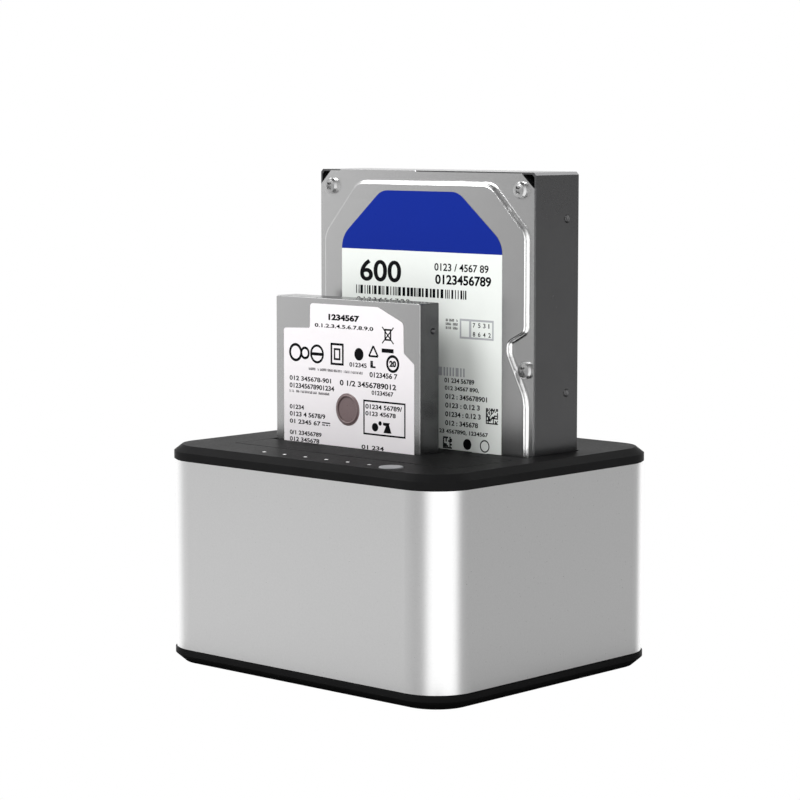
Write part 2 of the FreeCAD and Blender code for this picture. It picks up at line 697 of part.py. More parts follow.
def make_board_chips():
    chips = []
    for x, y, half_x, half_y, height in CHIPS:
        top = BOARD_Z + height
        body = block(x - half_x, x + half_x, y - half_y, y + half_y, BOARD_Z, top)
        rim = [e for e in body.Edges if e.BoundBox.ZMin > top - 1e-6]
        chips.append(body.makeChamfer(CHIP_EDGE, rim))
    return group(chips)


def make_capacitors():
    """Aluminium cans on square plinths, in the strip behind the bays."""
    profile = [(0, CAN_PLINTH_H), (2.7, CAN_PLINTH_H), (3.15, 2.0), (2.9, 2.4), (3.15, 2.8)]
    profile += [(3.15, 7.4), (2.9, 7.7), (0, 7.7)]
    half = CAN_PLINTH
    square = rectangle(-half, half, -half, half, 0.8)
    plinth = prism(square, level(0), Vec(0, 0, CAN_PLINTH_H))
    can = fuse([plinth, revolved(profile)])
    return group([seat(can, Vec(x, y, BOARD_Z), Vec(0, 0, 1)) for x, y in CANS])


def make_inductors():
    half = CHOKE_HALF
    body = prism(rectangle(-half, half, -half, half, 1.0), level(0), Vec(0, 0, CHOKE_H))
    choke = body.cut(upright(half / 2, 0, 0, CHOKE_H - 0.6, CHOKE_H))
    return group([seat(choke, Vec(x, y, BOARD_Z), Vec(0, 0, 1)) for x, y in CHOKES])


def make_crystal():
    x0, x1, y0, y1 = CRYSTAL
    rim_z = BOARD_Z + CRYSTAL_RIM_H
    radius = (y1 - y0) / 2 - 0.1
    can = prism(rectangle(x0, x1, y0, y1, radius), level(rim_z), Vec(0, 0, CRYSTAL_H))
    grow = CRYSTAL_RIM
    outer = rectangle(x0 - grow, x1 + grow, y0 - grow, y1 + grow, radius + grow)
    rim = prism(outer, level(BOARD_Z), Vec(0, 0, CRYSTAL_RIM_H))
    return fuse([can, rim])


# ---- front controls ------------------------------------------------------------------
def light_places():
    return [BUTTON_X - CONTROL_PITCH * (i + 1) for i in range(LIGHT_COUNT)]


def make_button():
    top = Z_DECK + BUTTON_PROUD
    flange_top = Z_CEILING - BUTTON_GAP
    flange_foot = flange_top - BUTTON_FLANGE_T
    edge = BUTTON_EDGE
    nick = edge * 0.3
    profile = [(0, PLUNGER_TOP), (BUTTON_STEM_R, PLUNGER_TOP), (BUTTON_STEM_R, flange_foot)]
    profile += [(BUTTON_FLANGE_R, flange_foot), (BUTTON_FLANGE_R, flange_top), (BUTTON_R, flange_top)]
    profile += [(BUTTON_R, top - edge), (BUTTON_R - nick, top - nick), (BUTTON_R - edge, top), (0, top)]
    return seat(revolved(profile), Vec(BUTTON_X, BUTTON_Y, 0), Vec(0, 0, 1))


def make_plunger():
    return upright(PLUNGER_R, BUTTON_X, BUTTON_Y, PANEL_BOARD_TOP + SWITCH_H - SWITCH_LID_T, PLUNGER_TOP)


def make_push_switch():
    half = SWITCH_W / 2
    top = PANEL_BOARD_TOP + SWITCH_H
    body = block(BUTTON_X - half, BUTTON_X + half, BUTTON_Y - half, BUTTON_Y + half, PANEL_BOARD_TOP, top)
    well_floor = top - SWITCH_LID_T - BUTTON_TRAVEL - BUTTON_GAP
    body = body.cut(upright(PLUNGER_R + 0.05, BUTTON_X, BUTTON_Y, well_floor, top))
    rivet_r, rivet_at, rivet_h = SWITCH_RIVET
    spots = mirrored_spots(rivet_at, rivet_at)
    rivets = [upright(rivet_r, BUTTON_X + x, BUTTON_Y + y, top, top + rivet_h) for x, y in spots]
    return fuse([body] + rivets)


def make_panel_board():
    x0, x1, y0, y1 = PANEL_BOARD
    bottom = PANEL_BOARD_TOP - PANEL_BOARD_T
    board = prism(rectangle(x0, x1, y0, y1, 1.0), level(bottom), Vec(0, 0, PANEL_BOARD_T))
    holes = [upright(SMALL_SCREW_R + 0.1, x, y, bottom, PANEL_BOARD_TOP) for x, y in PANEL_SCREWS]
    return carve(board, holes)


def make_cable_headers():
    """The flat cable's two connectors, under the indicator board and on the main board."""
    x0 = CABLE_X0 - HEADER_END
    x1 = CABLE_X1 + HEADER_END
    bottom = PANEL_BOARD_TOP - PANEL_BOARD_T
    half = HEADER_D / 2
    upper = block(x0, x1, CABLE_Y - half, CABLE_Y + half, bottom - HEADER_H, bottom)
    lower = block(x0, x1, HEADER_Y, HEADER_Y + HEADER_D, BOARD_Z, BOARD_Z + HEADER_H)
    return group([upper, lower])


def make_flat_cable():
    """A ribbon straight down from the indicator board, then back under the bays."""
    half = CABLE_T / 2
    top = PANEL_BOARD_TOP - PANEL_BOARD_T - HEADER_H
    inner = CABLE_BEND_R - half
    outer = CABLE_BEND_R + half
    bend_y = CABLE_Y + CABLE_BEND_R
    bend_z = CABLE_Z + CABLE_BEND_R
    down = block(CABLE_X0, CABLE_X1, CABLE_Y - half, CABLE_Y + half, bend_z, top)
    along = block(CABLE_X0, CABLE_X1, bend_y, HEADER_Y, CABLE_Z - half, CABLE_Z + half)
    ends = (Vec(CABLE_X0, bend_y, bend_z), Vec(CABLE_X1, bend_y, bend_z))
    ring = rod(outer, *ends).cut(rod(inner, *ends))
    quarter = block(CABLE_X0, CABLE_X1, bend_y - outer, bend_y, bend_z - outer, bend_z)
    return fuse([down, ring.common(quarter), along])


def make_light_chips():
    half_x, half_y, height = LIGHT_CHIP
    chip = block(-half_x, half_x, -half_y, half_y, 0, height)
    return group([seat(chip, Vec(x, BUTTON_Y, PANEL_BOARD_TOP), Vec(0, 0, 1)) for x in light_places()])


def make_light_pipes():
    bottom = PANEL_BOARD_TOP + LIGHT_CHIP[2] + 0.2
    collar_foot = Z_CEILING - LIGHT_COLLAR_H
    collar_r = LIGHT_R + LIGHT_COLLAR
    profile = [(0, bottom), (LIGHT_R, bottom), (LIGHT_R, collar_foot), (collar_r, collar_foot)]
    profile += [(collar_r, Z_CEILING), (LIGHT_R, Z_CEILING), (LIGHT_R, Z_DECK), (0, Z_DECK + 0.12)]
    pipe = revolved(profile)
    return group([seat(pipe, Vec(x, BUTTON_Y, 0), Vec(0, 0, 1)) for x in light_places()])


# ---- rear panel ----------------------------------------------------------------------
def make_rear_panel():
    grow = PANEL_FLANGE
    outer = rectangle(-WINDOW_X - grow, WINDOW_X + grow, WINDOW_Z0 - grow, WINDOW_Z1 + grow, WINDOW_R)
    flange = prism(outer, facing(PANEL_BACK_Y), Vec(0, PANEL_T, 0))
    window = rectangle(-WINDOW_X, WINDOW_X, WINDOW_Z0, WINDOW_Z1, WINDOW_R)
    plate = prism(window, facing(SHELL_INNER_Y), Vec(0, PANEL_FACE_Y - SHELL_INNER_Y, 0))
    back = PANEL_BACK_Y - 1
    through = Vec(0, PANEL_FACE_Y + 1 - back, 0)
    half_w = PORT_W / 2
    port = rectangle(PORT_X - half_w, PORT_X + half_w, BOARD_Z, BOARD_Z + PORT_H, PORT_CORNER_R)
    half_w, half_h = ROCKER_BODY
    rocker = rectangle(ROCKER_X - half_w, ROCKER_X + half_w, ROCKER_Z - half_h, ROCKER_Z + half_h, 0)
    jack_start = Vec(JACK_X, back, JACK_Z)
    holes = [prism(port, facing(back), through), prism(rocker, facing(back), through)]
    holes.append(rod(JACK_NOSE_R, jack_start, jack_start + through))
    return carve(fuse([flange, plate]), holes)


def make_data_port():
    """The square device port's metal can, with its stepped mouth."""
    half_w = PORT_W / 2
    outer = rectangle(PORT_X - half_w, PORT_X + half_w, BOARD_Z, BOARD_Z + PORT_H, PORT_CORNER_R)
    can = prism(outer, facing(PORT_BACK_Y), Vec(0, PANEL_FACE_Y - PORT_BACK_Y, 0))
    wide = 4.2
    narrow = 2.9
    floor, shoulder, neck, roof = (BOARD_Z + PORT_FLOOR + rise for rise in (0, 5.8, 7.2, 9.2))
    half = [(wide, floor), (wide, shoulder), (narrow, neck), (narrow, roof)]
    mouth = [(PORT_X + x, z, 0.3) for x, z in half] + [(PORT_X - x, z, 0.3) for x, z in half[::-1]]
    return can.cut(prism(mouth, facing(PANEL_FACE_Y - PORT_DEPTH), Vec(0, PORT_DEPTH, 0)))


def make_port_tongue():
    back = PANEL_FACE_Y - PORT_DEPTH
    front = PANEL_FACE_Y - 1.0
    z = BOARD_Z + PORT_FLOOR
    lower = block(PORT_X - 2.8, PORT_X + 2.8, back, front, z + 2.1, z + 5.1)
    upper = block(PORT_X - 2.2, PORT_X + 2.2, back, front - 0.8, z + 7.8, z + 8.5)
    return group([lower, upper])


def make_power_jack():
    left = JACK_X - JACK_HALF_W
    right = JACK_X + JACK_HALF_W
    body = block(left, right, JACK_BACK_Y, PANEL_BACK_Y, BOARD_Z, BOARD_Z + JACK_H)
    mouth = Vec(JACK_X, PANEL_FACE_Y, JACK_Z)
    nose = rod(JACK_NOSE_R, Vec(JACK_X, PANEL_BACK_Y, JACK_Z), mouth)
    bore = rod(JACK_R, mouth - Vec(0, JACK_DEPTH, 0), mouth)
    return carve(fuse([body, nose]), [bore])


def make_jack_pin():
    mouth = Vec(JACK_X, PANEL_FACE_Y, JACK_Z)
    return rod(JACK_PIN_R, mouth - Vec(0, JACK_DEPTH, 0), mouth - Vec(0, JACK_PIN_SUNK, 0))


def make_rocker_housing():
    half_w, half_h, proud = ROCKER_BEZEL
    face = PANEL_FACE_Y + proud
    outer = rectangle(ROCKER_X - half_w, ROCKER_X + half_w, ROCKER_Z - half_h, ROCKER_Z + half_h, 0.8)
    bezel = prism(outer, facing(PANEL_FACE_Y), Vec(0, proud, 0))
    half_w, half_h = ROCKER_BODY
    body = block(
        ROCKER_X - half_w, ROCKER_X + half_w, ROCKER_BODY_BACK_Y, PANEL_FACE_Y,
        ROCKER_Z - half_h, ROCKER_Z + half_h,
    )
    half_w = ROCKER_HALF_W + ROCKER_SIDE_GAP
    half_h = ROCKER_HALF_H + ROCKER_END_GAP
    well = block(
        ROCKER_X - half_w, ROCKER_X + half_w, ROCKER_WELL_Y, face, ROCKER_Z - half_h, ROCKER_Z + half_h
    )
    pivot = Vec(ROCKER_X, ROCKER_PIVOT_Y, ROCKER_Z)
    reach = Vec(0, 0, TRUNNION_REACH + TRUNNION_GAP[1])
    bearings = rod(TRUNNION_R + TRUNNION_GAP[0], pivot - reach, pivot + reach)
    return carve(fuse([bezel, body]), [well, bearings])


def make_rocker():
    """A rocker with a dished face on two trunnions, tilted to one of its two positions."""
    half_w = ROCKER_HALF_W
    side = [(-half_w, 2.7, 0.3), (0, 2.1, 12.0), (half_w, 2.7, 0.3), (half_w, 0.6, 0.6)]
    side += [(2.2, -2.4, 1.0), (-2.2, -2.4, 1.0), (-half_w, 0.6, 0.6)]
    body = prism(side, level(-ROCKER_HALF_H), Vec(0, 0, 2 * ROCKER_HALF_H))
    rocker = fuse([body, upright(TRUNNION_R, 0, 0, -TRUNNION_REACH, TRUNNION_REACH)])
    rocker.rotate(Vec(0, 0, 0), Vec(0, 0, 1), ROCKER_TILT)
    rocker.translate(Vec(ROCKER_X, ROCKER_PIVOT_Y, ROCKER_Z))
    return rocker


def make_terminals():
    """Three solder tags behind the rocker switch."""
    half_w, length, half_h = TAG
    back = ROCKER_BODY_BACK_Y
    tag = block(-half_w, half_w, back - length, back, ROCKER_Z - half_h, ROCKER_Z + half_h)
    tags = []
    for x in TAG_XS:
        placed = tag.copy()
        placed.translate(Vec(ROCKER_X + x, 0, 0))
        tags.append(placed)
    return group(tags)


# ---- 3.5-inch drive ------------------------------------------------------------------
def big(u, v):
    """A place on the large drive's face: u from its left edge, v down from its top edge."""
    return (DRIVE_LEFT + u, BIG_TOP - v)


def on_big(corners):
    return [(*big(u, v), radius) for u, v, radius in corners]


def big_hub(y):
    x, z = big(BIG_W / 2, BIG_HUB_V)
    return Vec(x, y, z)


def make_big_casting():
    """The drive's base casting: a tub for the disks, closed by the cover, with deep corner pockets."""
    y0 = BIG_FLANGE_Y + COVER_T
    body = block(DRIVE_LEFT, DRIVE_LEFT + BIG_W, y0, BIG_BACK_Y, BIG_BOTTOM, BIG_TOP)
    body = body.makeChamfer(BIG_EDGE, [e for e in body.Edges if e.BoundBox.YLength > BIG_T / 2])
    return carve(body, big_corner_pockets(y0) + big_casting_rooms(y0) + big_casting_holes(y0))


def big_corner_pockets(y0):
    """A three-sided pocket beside each cut-off corner of the cover, inside a thin wall."""
    wall = BIG_CORNER_WALL
    near = BIG_EDGE + wall
    far = BIG_COVER_CUT + wall
    corner = [(wall, near), (near, wall), (far, wall), (wall, far)]
    pockets = []
    for mirror_u in (False, True):
        for mirror_v in (False, True):
            points = []
            for u, v in corner:
                across = BIG_W - u if mirror_u else u
                down = BIG_L - v if mirror_v else v
                points.append((across, down, 0))
            if mirror_u != mirror_v:
                points.reverse()
            pockets.append(prism(on_big(points), facing(y0), Vec(0, BIG_CORNER_DROP, 0)))
    return pockets


def big_casting_rooms(y0):
    """The disk basin, the arm's room beside it, and the recesses in the back."""
    floor_y = BIG_BACK_Y - BIG_BOARD_SINK
    depth = Vec(0, BIG_BASIN_DEPTH, 0)
    bosses = []
    for u, v in BIG_SCREWS:
        x, z = big(u, v)
        bosses.append(rod(BIG_SCREW_BOSS_R, Vec(x, y0, z), Vec(x, y0, z) + depth))
    rooms = [rod(BIG_BASIN_R, big_hub(y0), big_hub(y0) + depth).cut(bosses)]
    u0, u1, v0, v1 = BIG_ARM_ROOM
    rooms.append(prism(on_big(rectangle(u0, u1, v1, v0, 4.0)), facing(y0), depth))
    rail = BIG_RAIL
    recess = on_big([(rail, BIG_L, 0), (BIG_W - rail, BIG_L, 0), (BIG_W - rail, 20, 6), (rail, 20, 6)])
    rooms.append(prism(recess, facing(floor_y), Vec(0, BIG_BOARD_SINK, 0)))
    rooms.append(rod(BIG_HUB_R + 0.4, big_hub(floor_y - BIG_HUB_FLANGE_T), big_hub(floor_y)))
    half = PLUG_W / 2
    y1 = REAR_SOCKET_Y - PLUG_T / 2
    rooms.append(block(SOCKET_X - half, SOCKET_X + half, y1, BIG_BACK_Y, BIG_BOTTOM, PLUG_TOP))
    return rooms


def big_casting_holes(y0):
    """Threaded fixing holes in the sides and the back, and the cover's screw holes."""
    x0 = DRIVE_LEFT
    x1 = DRIVE_LEFT + BIG_W
    y = BIG_BACK_Y - BIG_SIDE_HOLE_IN
    holes = []
    for up in BIG_SIDE_HOLES:
        z = BIG_BOTTOM + up
        holes.append(rod(BIG_HOLE_R, Vec(x0, y, z), Vec(x0 + BIG_HOLE_DEPTH, y, z)))
        holes.append(rod(BIG_HOLE_R, Vec(x1 - BIG_HOLE_DEPTH, y, z), Vec(x1, y, z)))
    for up in BIG_FACE_HOLES:
        for x in (x0 + BIG_FACE_HOLE_IN, x1 - BIG_FACE_HOLE_IN):
            z = BIG_BOTTOM + up
            holes.append(rod(BIG_HOLE_R, Vec(x, BIG_BACK_Y - BIG_HOLE_DEPTH, z), Vec(x, BIG_BACK_Y, z)))
    for u, v in BIG_SCREWS:
        x, z = big(u, v)
        holes.append(rod(BIG_SCREW_R, Vec(x, y0, z), Vec(x, BIG_FLANGE_Y + BIG_SCREW_L, z)))
    return holes


def big_cover_blank(y, depth):
    """The cover's flat outline: corners cut off, and the top edge a little higher on the left."""
    left = 0.6
    right = BIG_W - 0.4
    top = 0.4
    end = BIG_L - 0.4
    cut = BIG_COVER_CUT
    corners = [(left, top + cut, 0), (left + cut, top, 0), (10.0, top, 0), (10.4, 0, 0), (46.6, 0, 0)]
    corners += [(47.0, top, 0), (right - cut - 0.6, top, 0), (right, top + cut, 0), (right, end - cut, 0)]
    corners += [(right - cut, end, 0), (left + cut, end, 0), (left, end - cut, 0)]
    return prism(on_big(corners), facing(y), Vec(0, depth, 0))


def big_plateau_outline(grow):
    """The raised middle of the cover, waisted beside the two screws at mid height."""
    left = 4.1 - grow
    right = 98.9 + grow
    top = 4.5 - grow
    end = 139.7 + grow
    slant = grow * 0.41        # what the slanted sides' ends move by, along the straight ones
    waist = 7.6
    corners = [(left, 23.1 - slant, 7), (20.1 - slant, top, 7), (83.2 + slant, top, 7)]
    corners += [(right, 20.6 - slant, 6), (right, 54.0 + slant, 3)]
    corners += [(right - waist, 58.0 + slant, 3), (right - waist, 62.0, 5)]
    corners += [(right, 77.0, 14), (right, 124.4 + slant, 6), (84.4 + slant, end, 6)]
    corners += [(17.6 - slant, end, 6), (left, 124.4 + slant, 6), (left, 77.0, 14), (left + waist, 62.0, 5)]
    corners += [(left + waist, 58.0 + slant, 3), (left, 54.0 + slant, 3)]
    return on_big(corners)


def edges_between(shape, y, bounds):
    """The edges that lie wholly at depth y and inside the given bounds."""
    near = 1e-4
    found = []
    for edge in shape.Edges:
        box = edge.BoundBox
        level_y = abs(box.YMin - y) < near and abs(box.YMax - y) < near
        inside_x = box.XMin > bounds.XMin - near and box.XMax < bounds.XMax + near
        inside_z = box.ZMin > bounds.ZMin - near and box.ZMax < bounds.ZMax + near
        if level_y and inside_x and inside_z:
            found.append(edge)
    return found


def make_big_cover():
    """A pressed sheet: its plateau stands on a steep wall, rounded at the crown and more at the foot."""
    blank = big_cover_blank(BIG_FLANGE_Y, COVER_T)
    foot = rounded_loop(big_plateau_outline(PLATEAU_LEAN / 2), facing(BIG_FLANGE_Y))
    crown = rounded_loop(big_plateau_outline(-PLATEAU_LEAN / 2), facing(BIG_FACE_Y))
    plateau = Part.makeLoft([foot, crown], True, True)
    cover = fuse([blank, plateau])
    cover = cover.makeFillet(PLATEAU_CROWN_R, edges_between(cover, BIG_FACE_Y, plateau.BoundBox))
    cover = cover.makeFillet(PLATEAU_FOOT_R, edges_between(cover, BIG_FLANGE_Y, plateau.BoundBox))
    holes = []
    for u, v in BIG_SCREWS:
        x, z = big(u, v)
        seat_at = Vec(x, BIG_FLANGE_Y, z)
        holes.append(rod(BIG_SCREW_R, seat_at - Vec(0, 0.5, 0), seat_at + Vec(0, COVER_T, 0)))
        holes.append(rod(BIG_SCREW_HEAD_R + HEAD_CLEAR, Vec(x, BIG_FACE_Y - 1, z), seat_at))
    return carve(cover, holes)


def make_big_screws():
    one = screw(BIG_SCREW_HEAD_R, BIG_SCREW_HEAD_H, BIG_SCREW_R, BIG_SCREW_L, 3)
    spots = [big(u, v) for u, v in BIG_SCREWS]
    return group([seat(one, Vec(x, BIG_FLANGE_Y, z), Vec(0, 1, 0)) for x, z in spots])


def big_label_outline():
    """Clipped shoulders at the top, straight sides below."""
    corners = [(13.0, 118.0, 1.0), (13.0, 24.0, 9), (32.4, 7.1, 8), (68.6, 7.1, 8), (88.8, 24.0, 9)]
    corners += [(88.8, 118.0, 1.0)]
    return on_big(corners)


def make_big_label(part):
    """The printed label: a blue head above the split line and a white body below it."""
    whole = prism(big_label_outline(), facing(BIG_FACE_Y - LABEL_T), Vec(0, LABEL_T, 0))
    x0, z_split = big(0, BIG_LABEL_SPLIT)
    y0 = BIG_FACE_Y - 1
    y1 = BIG_FACE_Y + 1
    if part == "head":
        return whole.common(block(x0, x0 + BIG_W, y0, y1, z_split, BIG_TOP))
    return whole.common(block(x0, x0 + BIG_W, y0, y1, BIG_BOTTOM, z_split))


def make_big_board():
    floor_y = BIG_BACK_Y - BIG_BOARD_SINK
    left = 9.0
    right = BIG_W - 9.0
    step = 54.0
    top = BIG_BOARD_TOP_V
    foot = BIG_L - 1.0
    corners = [(left, BIG_BOARD_END_V, 1.0), (left, top, 3.0), (right, top, 3.0), (right, foot, 1.0)]
    corners += [(step, foot, 1.0), (step, BIG_BOARD_END_V, 0)]
    board = prism(on_big(corners), facing(floor_y), Vec(0, BIG_BOARD_T, 0))
    holes = [rod(BIG_HUB_R + 1.9, big_hub(floor_y - 1), big_hub(BIG_BACK_Y))]
    for u, v in BIG_BOARD_SCREWS:
        x, z = big(u, v)
        holes.append(rod(SMALL_SCREW_R, Vec(x, floor_y - 1, z), Vec(x, BIG_BACK_Y, z)))
    return carve(board, holes)


def make_big_board_screws():
    one = screw(1.9, 0.9, SMALL_SCREW_R, BIG_BOARD_T, 2)
    seat_y = BIG_BACK_Y - BIG_BOARD_SINK + BIG_BOARD_T
    spots = [big(u, v) for u, v in BIG_BOARD_SCREWS]
    return group([seat(one, Vec(x, seat_y, z), Vec(0, -1, 0)) for x, z in spots])


def make_big_hub():
    """The spindle motor's pressed flange, let into the back of the casting."""
    profile = [(0, 0), (BIG_HUB_R, 0), (BIG_HUB_R, BIG_HUB_FLANGE_T), (13.4, 2.2), (9.0, 2.2)]
    profile += [(8.2, 1.5), (5.0, 1.5), (4.4, 2.6), (0, 2.6)]
    return seat(revolved(profile), big_hub(BIG_BACK_Y - BIG_BOARD_SINK - BIG_HUB_FLANGE_T), Vec(0, 1, 0))


# ---- 2.5-inch drive ------------------------------------------------------------------
def small(u, v):
    return (DRIVE_LEFT + u, SMALL_TOP - v)


def on_small(corners):
    return [(*small(u, v), radius) for u, v, radius in corners]


def small_hub(y):
    x, z = small(*SMALL_HUB)
    return Vec(x, y, z)


def small_outline(inset):
    radius = SMALL_CORNER_R
    return on_small(rectangle(inset, SMALL_W - inset, SMALL_L - inset, inset, radius))


def small_face_holes():
    """The four fixing holes in the circuit-board side, as (x, z)."""
    xs = (DRIVE_LEFT + SMALL_FACE_HOLE_IN, DRIVE_LEFT + SMALL_W - SMALL_FACE_HOLE_IN)
    return [(x, SMALL_BOTTOM + up) for up in SMALL_SIDE_HOLES for x in xs]


def make_small_casting():
    y0 = SMALL_FACE_Y + SMALL_COVER_T
    body = prism(small_outline(0), facing(y0), Vec(0, SMALL_BACK_Y - y0, 0))
    return carve(body, small_casting_rooms(y0) + small_casting_holes())


def small_casting_rooms(y0):
    """The disk basin, the arm's room below it, and the recesses in the back."""
    floor_y = SMALL_BACK_Y - SMALL_BOARD_SINK
    depth = Vec(0, SMALL_BASIN_DEPTH, 0)
    rooms = [rod(SMALL_BASIN_R, small_hub(y0), small_hub(y0) + depth)]
    u0, u1, v0, v1 = SMALL_ARM_ROOM
    rooms.append(prism(on_small(rectangle(u0, u1, v1, v0, 3.0)), facing(y0), depth))
    rail = SMALL_RAIL
    top = SMALL_BOARD_TOP_V
    far = SMALL_W - rail
    recess = on_small([(rail, SMALL_L, 0), (far, SMALL_L, 0), (far, top, 3), (rail, top, 3)])
    pads = [rod(SMALL_PAD_R, Vec(x, floor_y, z), Vec(x, SMALL_BACK_Y, z)) for x, z in small_face_holes()]
    rooms.append(prism(recess, facing(floor_y), Vec(0, SMALL_BOARD_SINK, 0)).cut(pads))
    seat_y = SMALL_BACK_Y - SMALL_MOTOR_SINK
    rooms.append(rod(SMALL_MOTOR_R + 0.2, small_hub(seat_y), small_hub(SMALL_BACK_Y)))
    half = PLUG_W / 2
    y1 = FRONT_SOCKET_Y - PLUG_T / 2
    rooms.append(block(SOCKET_X - half, SOCKET_X + half, y1, SMALL_BACK_Y, SMALL_BOTTOM, PLUG_TOP))
    return rooms


def small_casting_holes():
    x0 = DRIVE_LEFT
    x1 = DRIVE_LEFT + SMALL_W
    y = SMALL_BACK_Y - SMALL_SIDE_HOLE_IN
    holes = []
    for up in SMALL_SIDE_HOLES:
        z = SMALL_BOTTOM + up
        holes.append(rod(SMALL_HOLE_R, Vec(x0, y, z), Vec(x0 + SMALL_HOLE_DEPTH, y, z)))
        holes.append(rod(SMALL_HOLE_R, Vec(x1 - SMALL_HOLE_DEPTH, y, z), Vec(x1, y, z)))
    for x, z in small_face_holes():
        holes.append(rod(SMALL_HOLE_R, Vec(x, SMALL_BACK_Y - 1.6, z), Vec(x, SMALL_BACK_Y, z)))
    return holes


def make_small_cover():
    cover = prism(small_outline(SMALL_COVER_IN), facing(SMALL_FACE_Y), Vec(0, SMALL_COVER_T, 0))
    front = [e for e in cover.Edges if e.BoundBox.YMax < SMALL_FACE_Y + 1e-6]
    return cover.makeFillet(SMALL_COVER_EDGE, front)


def make_small_label():
    """A label with a stepped left shoulder and a clipped right one, open round the hub seal."""
    corners = [(3.9, 94.0, 1.0), (4.0, 11.5, 1.0), (17.1, 10.9, 0.8), (17.3, 2.1, 1.2), (50.0, 2.0, 1.5)]
    corners += [(62.1, 7.0, 1.8), (62.3, 17.4, 1.5), (67.2, 21.0, 1.0), (67.1, 94.0, 1.0)]
    label = prism(on_small(corners), facing(SMALL_FACE_Y - LABEL_T), Vec(0, LABEL_T, 0))
    return label.cut(rod(SMALL_HUB_R, small_hub(SMALL_FACE_Y - 1), small_hub(SMALL_FACE_Y)))


def make_small_hub_seal():
    ring = SMALL_HUB_R - 0.8
    profile = [(0, 0), (SMALL_HUB_R, 0), (SMALL_HUB_R, 0.15), (SMALL_HUB_R - 0.25, 0.32), (ring, 0.32)]
    profile += [(ring - 0.3, 0.14), (0, 0.14)]
    return seat(revolved(profile), small_hub(SMALL_FACE_Y), Vec(0, -1, 0))


def make_small_board():
    floor_y = SMALL_BACK_Y - SMALL_BOARD_SINK
    left = SMALL_BOARD_EDGE
    right = SMALL_W - SMALL_BOARD_EDGE
    step = 52.0
    top = SMALL_BOARD_TOP_V + 0.8
    foot = SMALL_L - 0.6
    end = SMALL_L - 7.2
    corners = [(left, end, 0.5), (left, top, 2.0), (right, top, 2.0), (right, foot, 1.0)]
    corners += [(step, foot, 1.0), (step, end, 0)]
    board = prism(on_small(corners), facing(floor_y), Vec(0, SMALL_BOARD_T, 0))
    holes = []
    for x, z in small_face_holes():
        holes.append(rod(SMALL_PAD_R + 0.3, Vec(x, floor_y - 1, z), Vec(x, SMALL_BACK_Y, z)))
    for u, v in SMALL_BOARD_SCREWS:
        x, z = small(u, v)
        holes.append(rod(0.8, Vec(x, floor_y - 1, z), Vec(x, SMALL_BACK_Y, z)))
    return carve(board, holes)


def make_small_board_screws():
    one = screw(1.5, 0.6, 0.8, SMALL_BOARD_T, 2)
    seat_y = SMALL_BACK_Y - SMALL_BOARD_SINK + SMALL_BOARD_T
    spots = [small(u, v) for u, v in SMALL_BOARD_SCREWS]
    return group([seat(one, Vec(x, seat_y, z), Vec(0, -1, 0)) for x, z in spots])


def make_small_spindle():
    """The motor boss seen on the circuit-board side."""
    profile = [(0, 0), (SMALL_MOTOR_R, 0), (SMALL_MOTOR_R, 0.3), (9.6, 0.7), (4.0, 0.7), (3.6, 0.4), (0, 0.4)]
    return seat(revolved(profile), small_hub(SMALL_BACK_Y - SMALL_MOTOR_SINK), Vec(0, 1, 0))


# ---- the whole machine ---------------------------------------------------------------
def build():
    door = door_shape()
    spring = spring_shape()
    board_bottom = PANEL_BOARD_TOP - PANEL_BOARD_T
    return {
        "shell": make_shell(),
        "lid": make_lid(),
        "base": make_base(),
        "rubber_feet": make_feet(),
        "case_screws": make_case_screws(),
        "bay_frame": make_bay_frame(),
        "bay_frame_screws": make_screws(EAR_SPOTS, EAR_TOP - EAR_T, True),
        "front_door": hang(door, FRONT_HINGE_Y, 0),
        "rear_door": hang(door, REAR_HINGE_Y, DOOR_LEAN),
        "door_pins": make_hinge_pins(),
        "front_door_spring": hang(spring, FRONT_HINGE_Y, 0),
        "rear_door_spring": hang(spring, REAR_HINGE_Y, DOOR_LEAN),
        "main_board": make_main_board(),
        "main_board_screws": make_screws(BOARD_SCREWS, BOARD_Z, False),
        "front_socket": make_socket(FRONT_SOCKET_Y),
        "rear_socket": make_socket(REAR_SOCKET_Y),
        "socket_contacts": make_socket_contacts(),
        "board_chips": make_board_chips(),
        "capacitors": make_capacitors(),
        "inductors": make_inductors(),
        "crystal": make_crystal(),
        "clone_button": make_button(),
        "switch_plunger": make_plunger(),
        "push_switch": make_push_switch(),
        "indicator_board": make_panel_board(),
        "indicator_board_screws": make_screws(PANEL_SCREWS, board_bottom, True),
        "indicator_chips": make_light_chips(),
        "cable_headers": make_cable_headers(),
        "indicator_cable": make_flat_cable(),
        "light_pipes": make_light_pipes(),
        "rear_panel": make_rear_panel(),
        "data_port": make_data_port(),
        "data_port_tongue": make_port_tongue(),
        "power_jack": make_power_jack(),
        "power_jack_pin": make_jack_pin(),
        "rocker_housing": make_rocker_housing(),
        "power_rocker": make_rocker(),
        "rocker_terminals": make_terminals(),
        "large_drive_casting": make_big_casting(),
        "large_drive_cover": make_big_cover(),
        "large_drive_screws": make_big_screws(),
        "large_drive_label_head": make_big_label("head"),
        "large_drive_label_body": make_big_label("body"),
        "large_drive_board": make_big_board(),
        "large_drive_board_screws": make_big_board_screws(),
        "large_drive_hub": make_big_hub(),
        "large_drive_plug": make_plug(REAR_SOCKET_Y, BIG_BOTTOM),
        "small_drive_casting": make_small_casting(),
        "small_drive_cover": make_small_cover(),
        "small_drive_label": make_small_label(),
        "small_drive_hub_seal": make_small_hub_seal(),
        "small_drive_board": make_small_board(),
        "small_drive_board_screws": make_small_board_screws(),
        "small_drive_spindle": make_small_spindle(),
        "small_drive_plug": make_plug(FRONT_SOCKET_Y, SMALL_BOTTOM),
    }


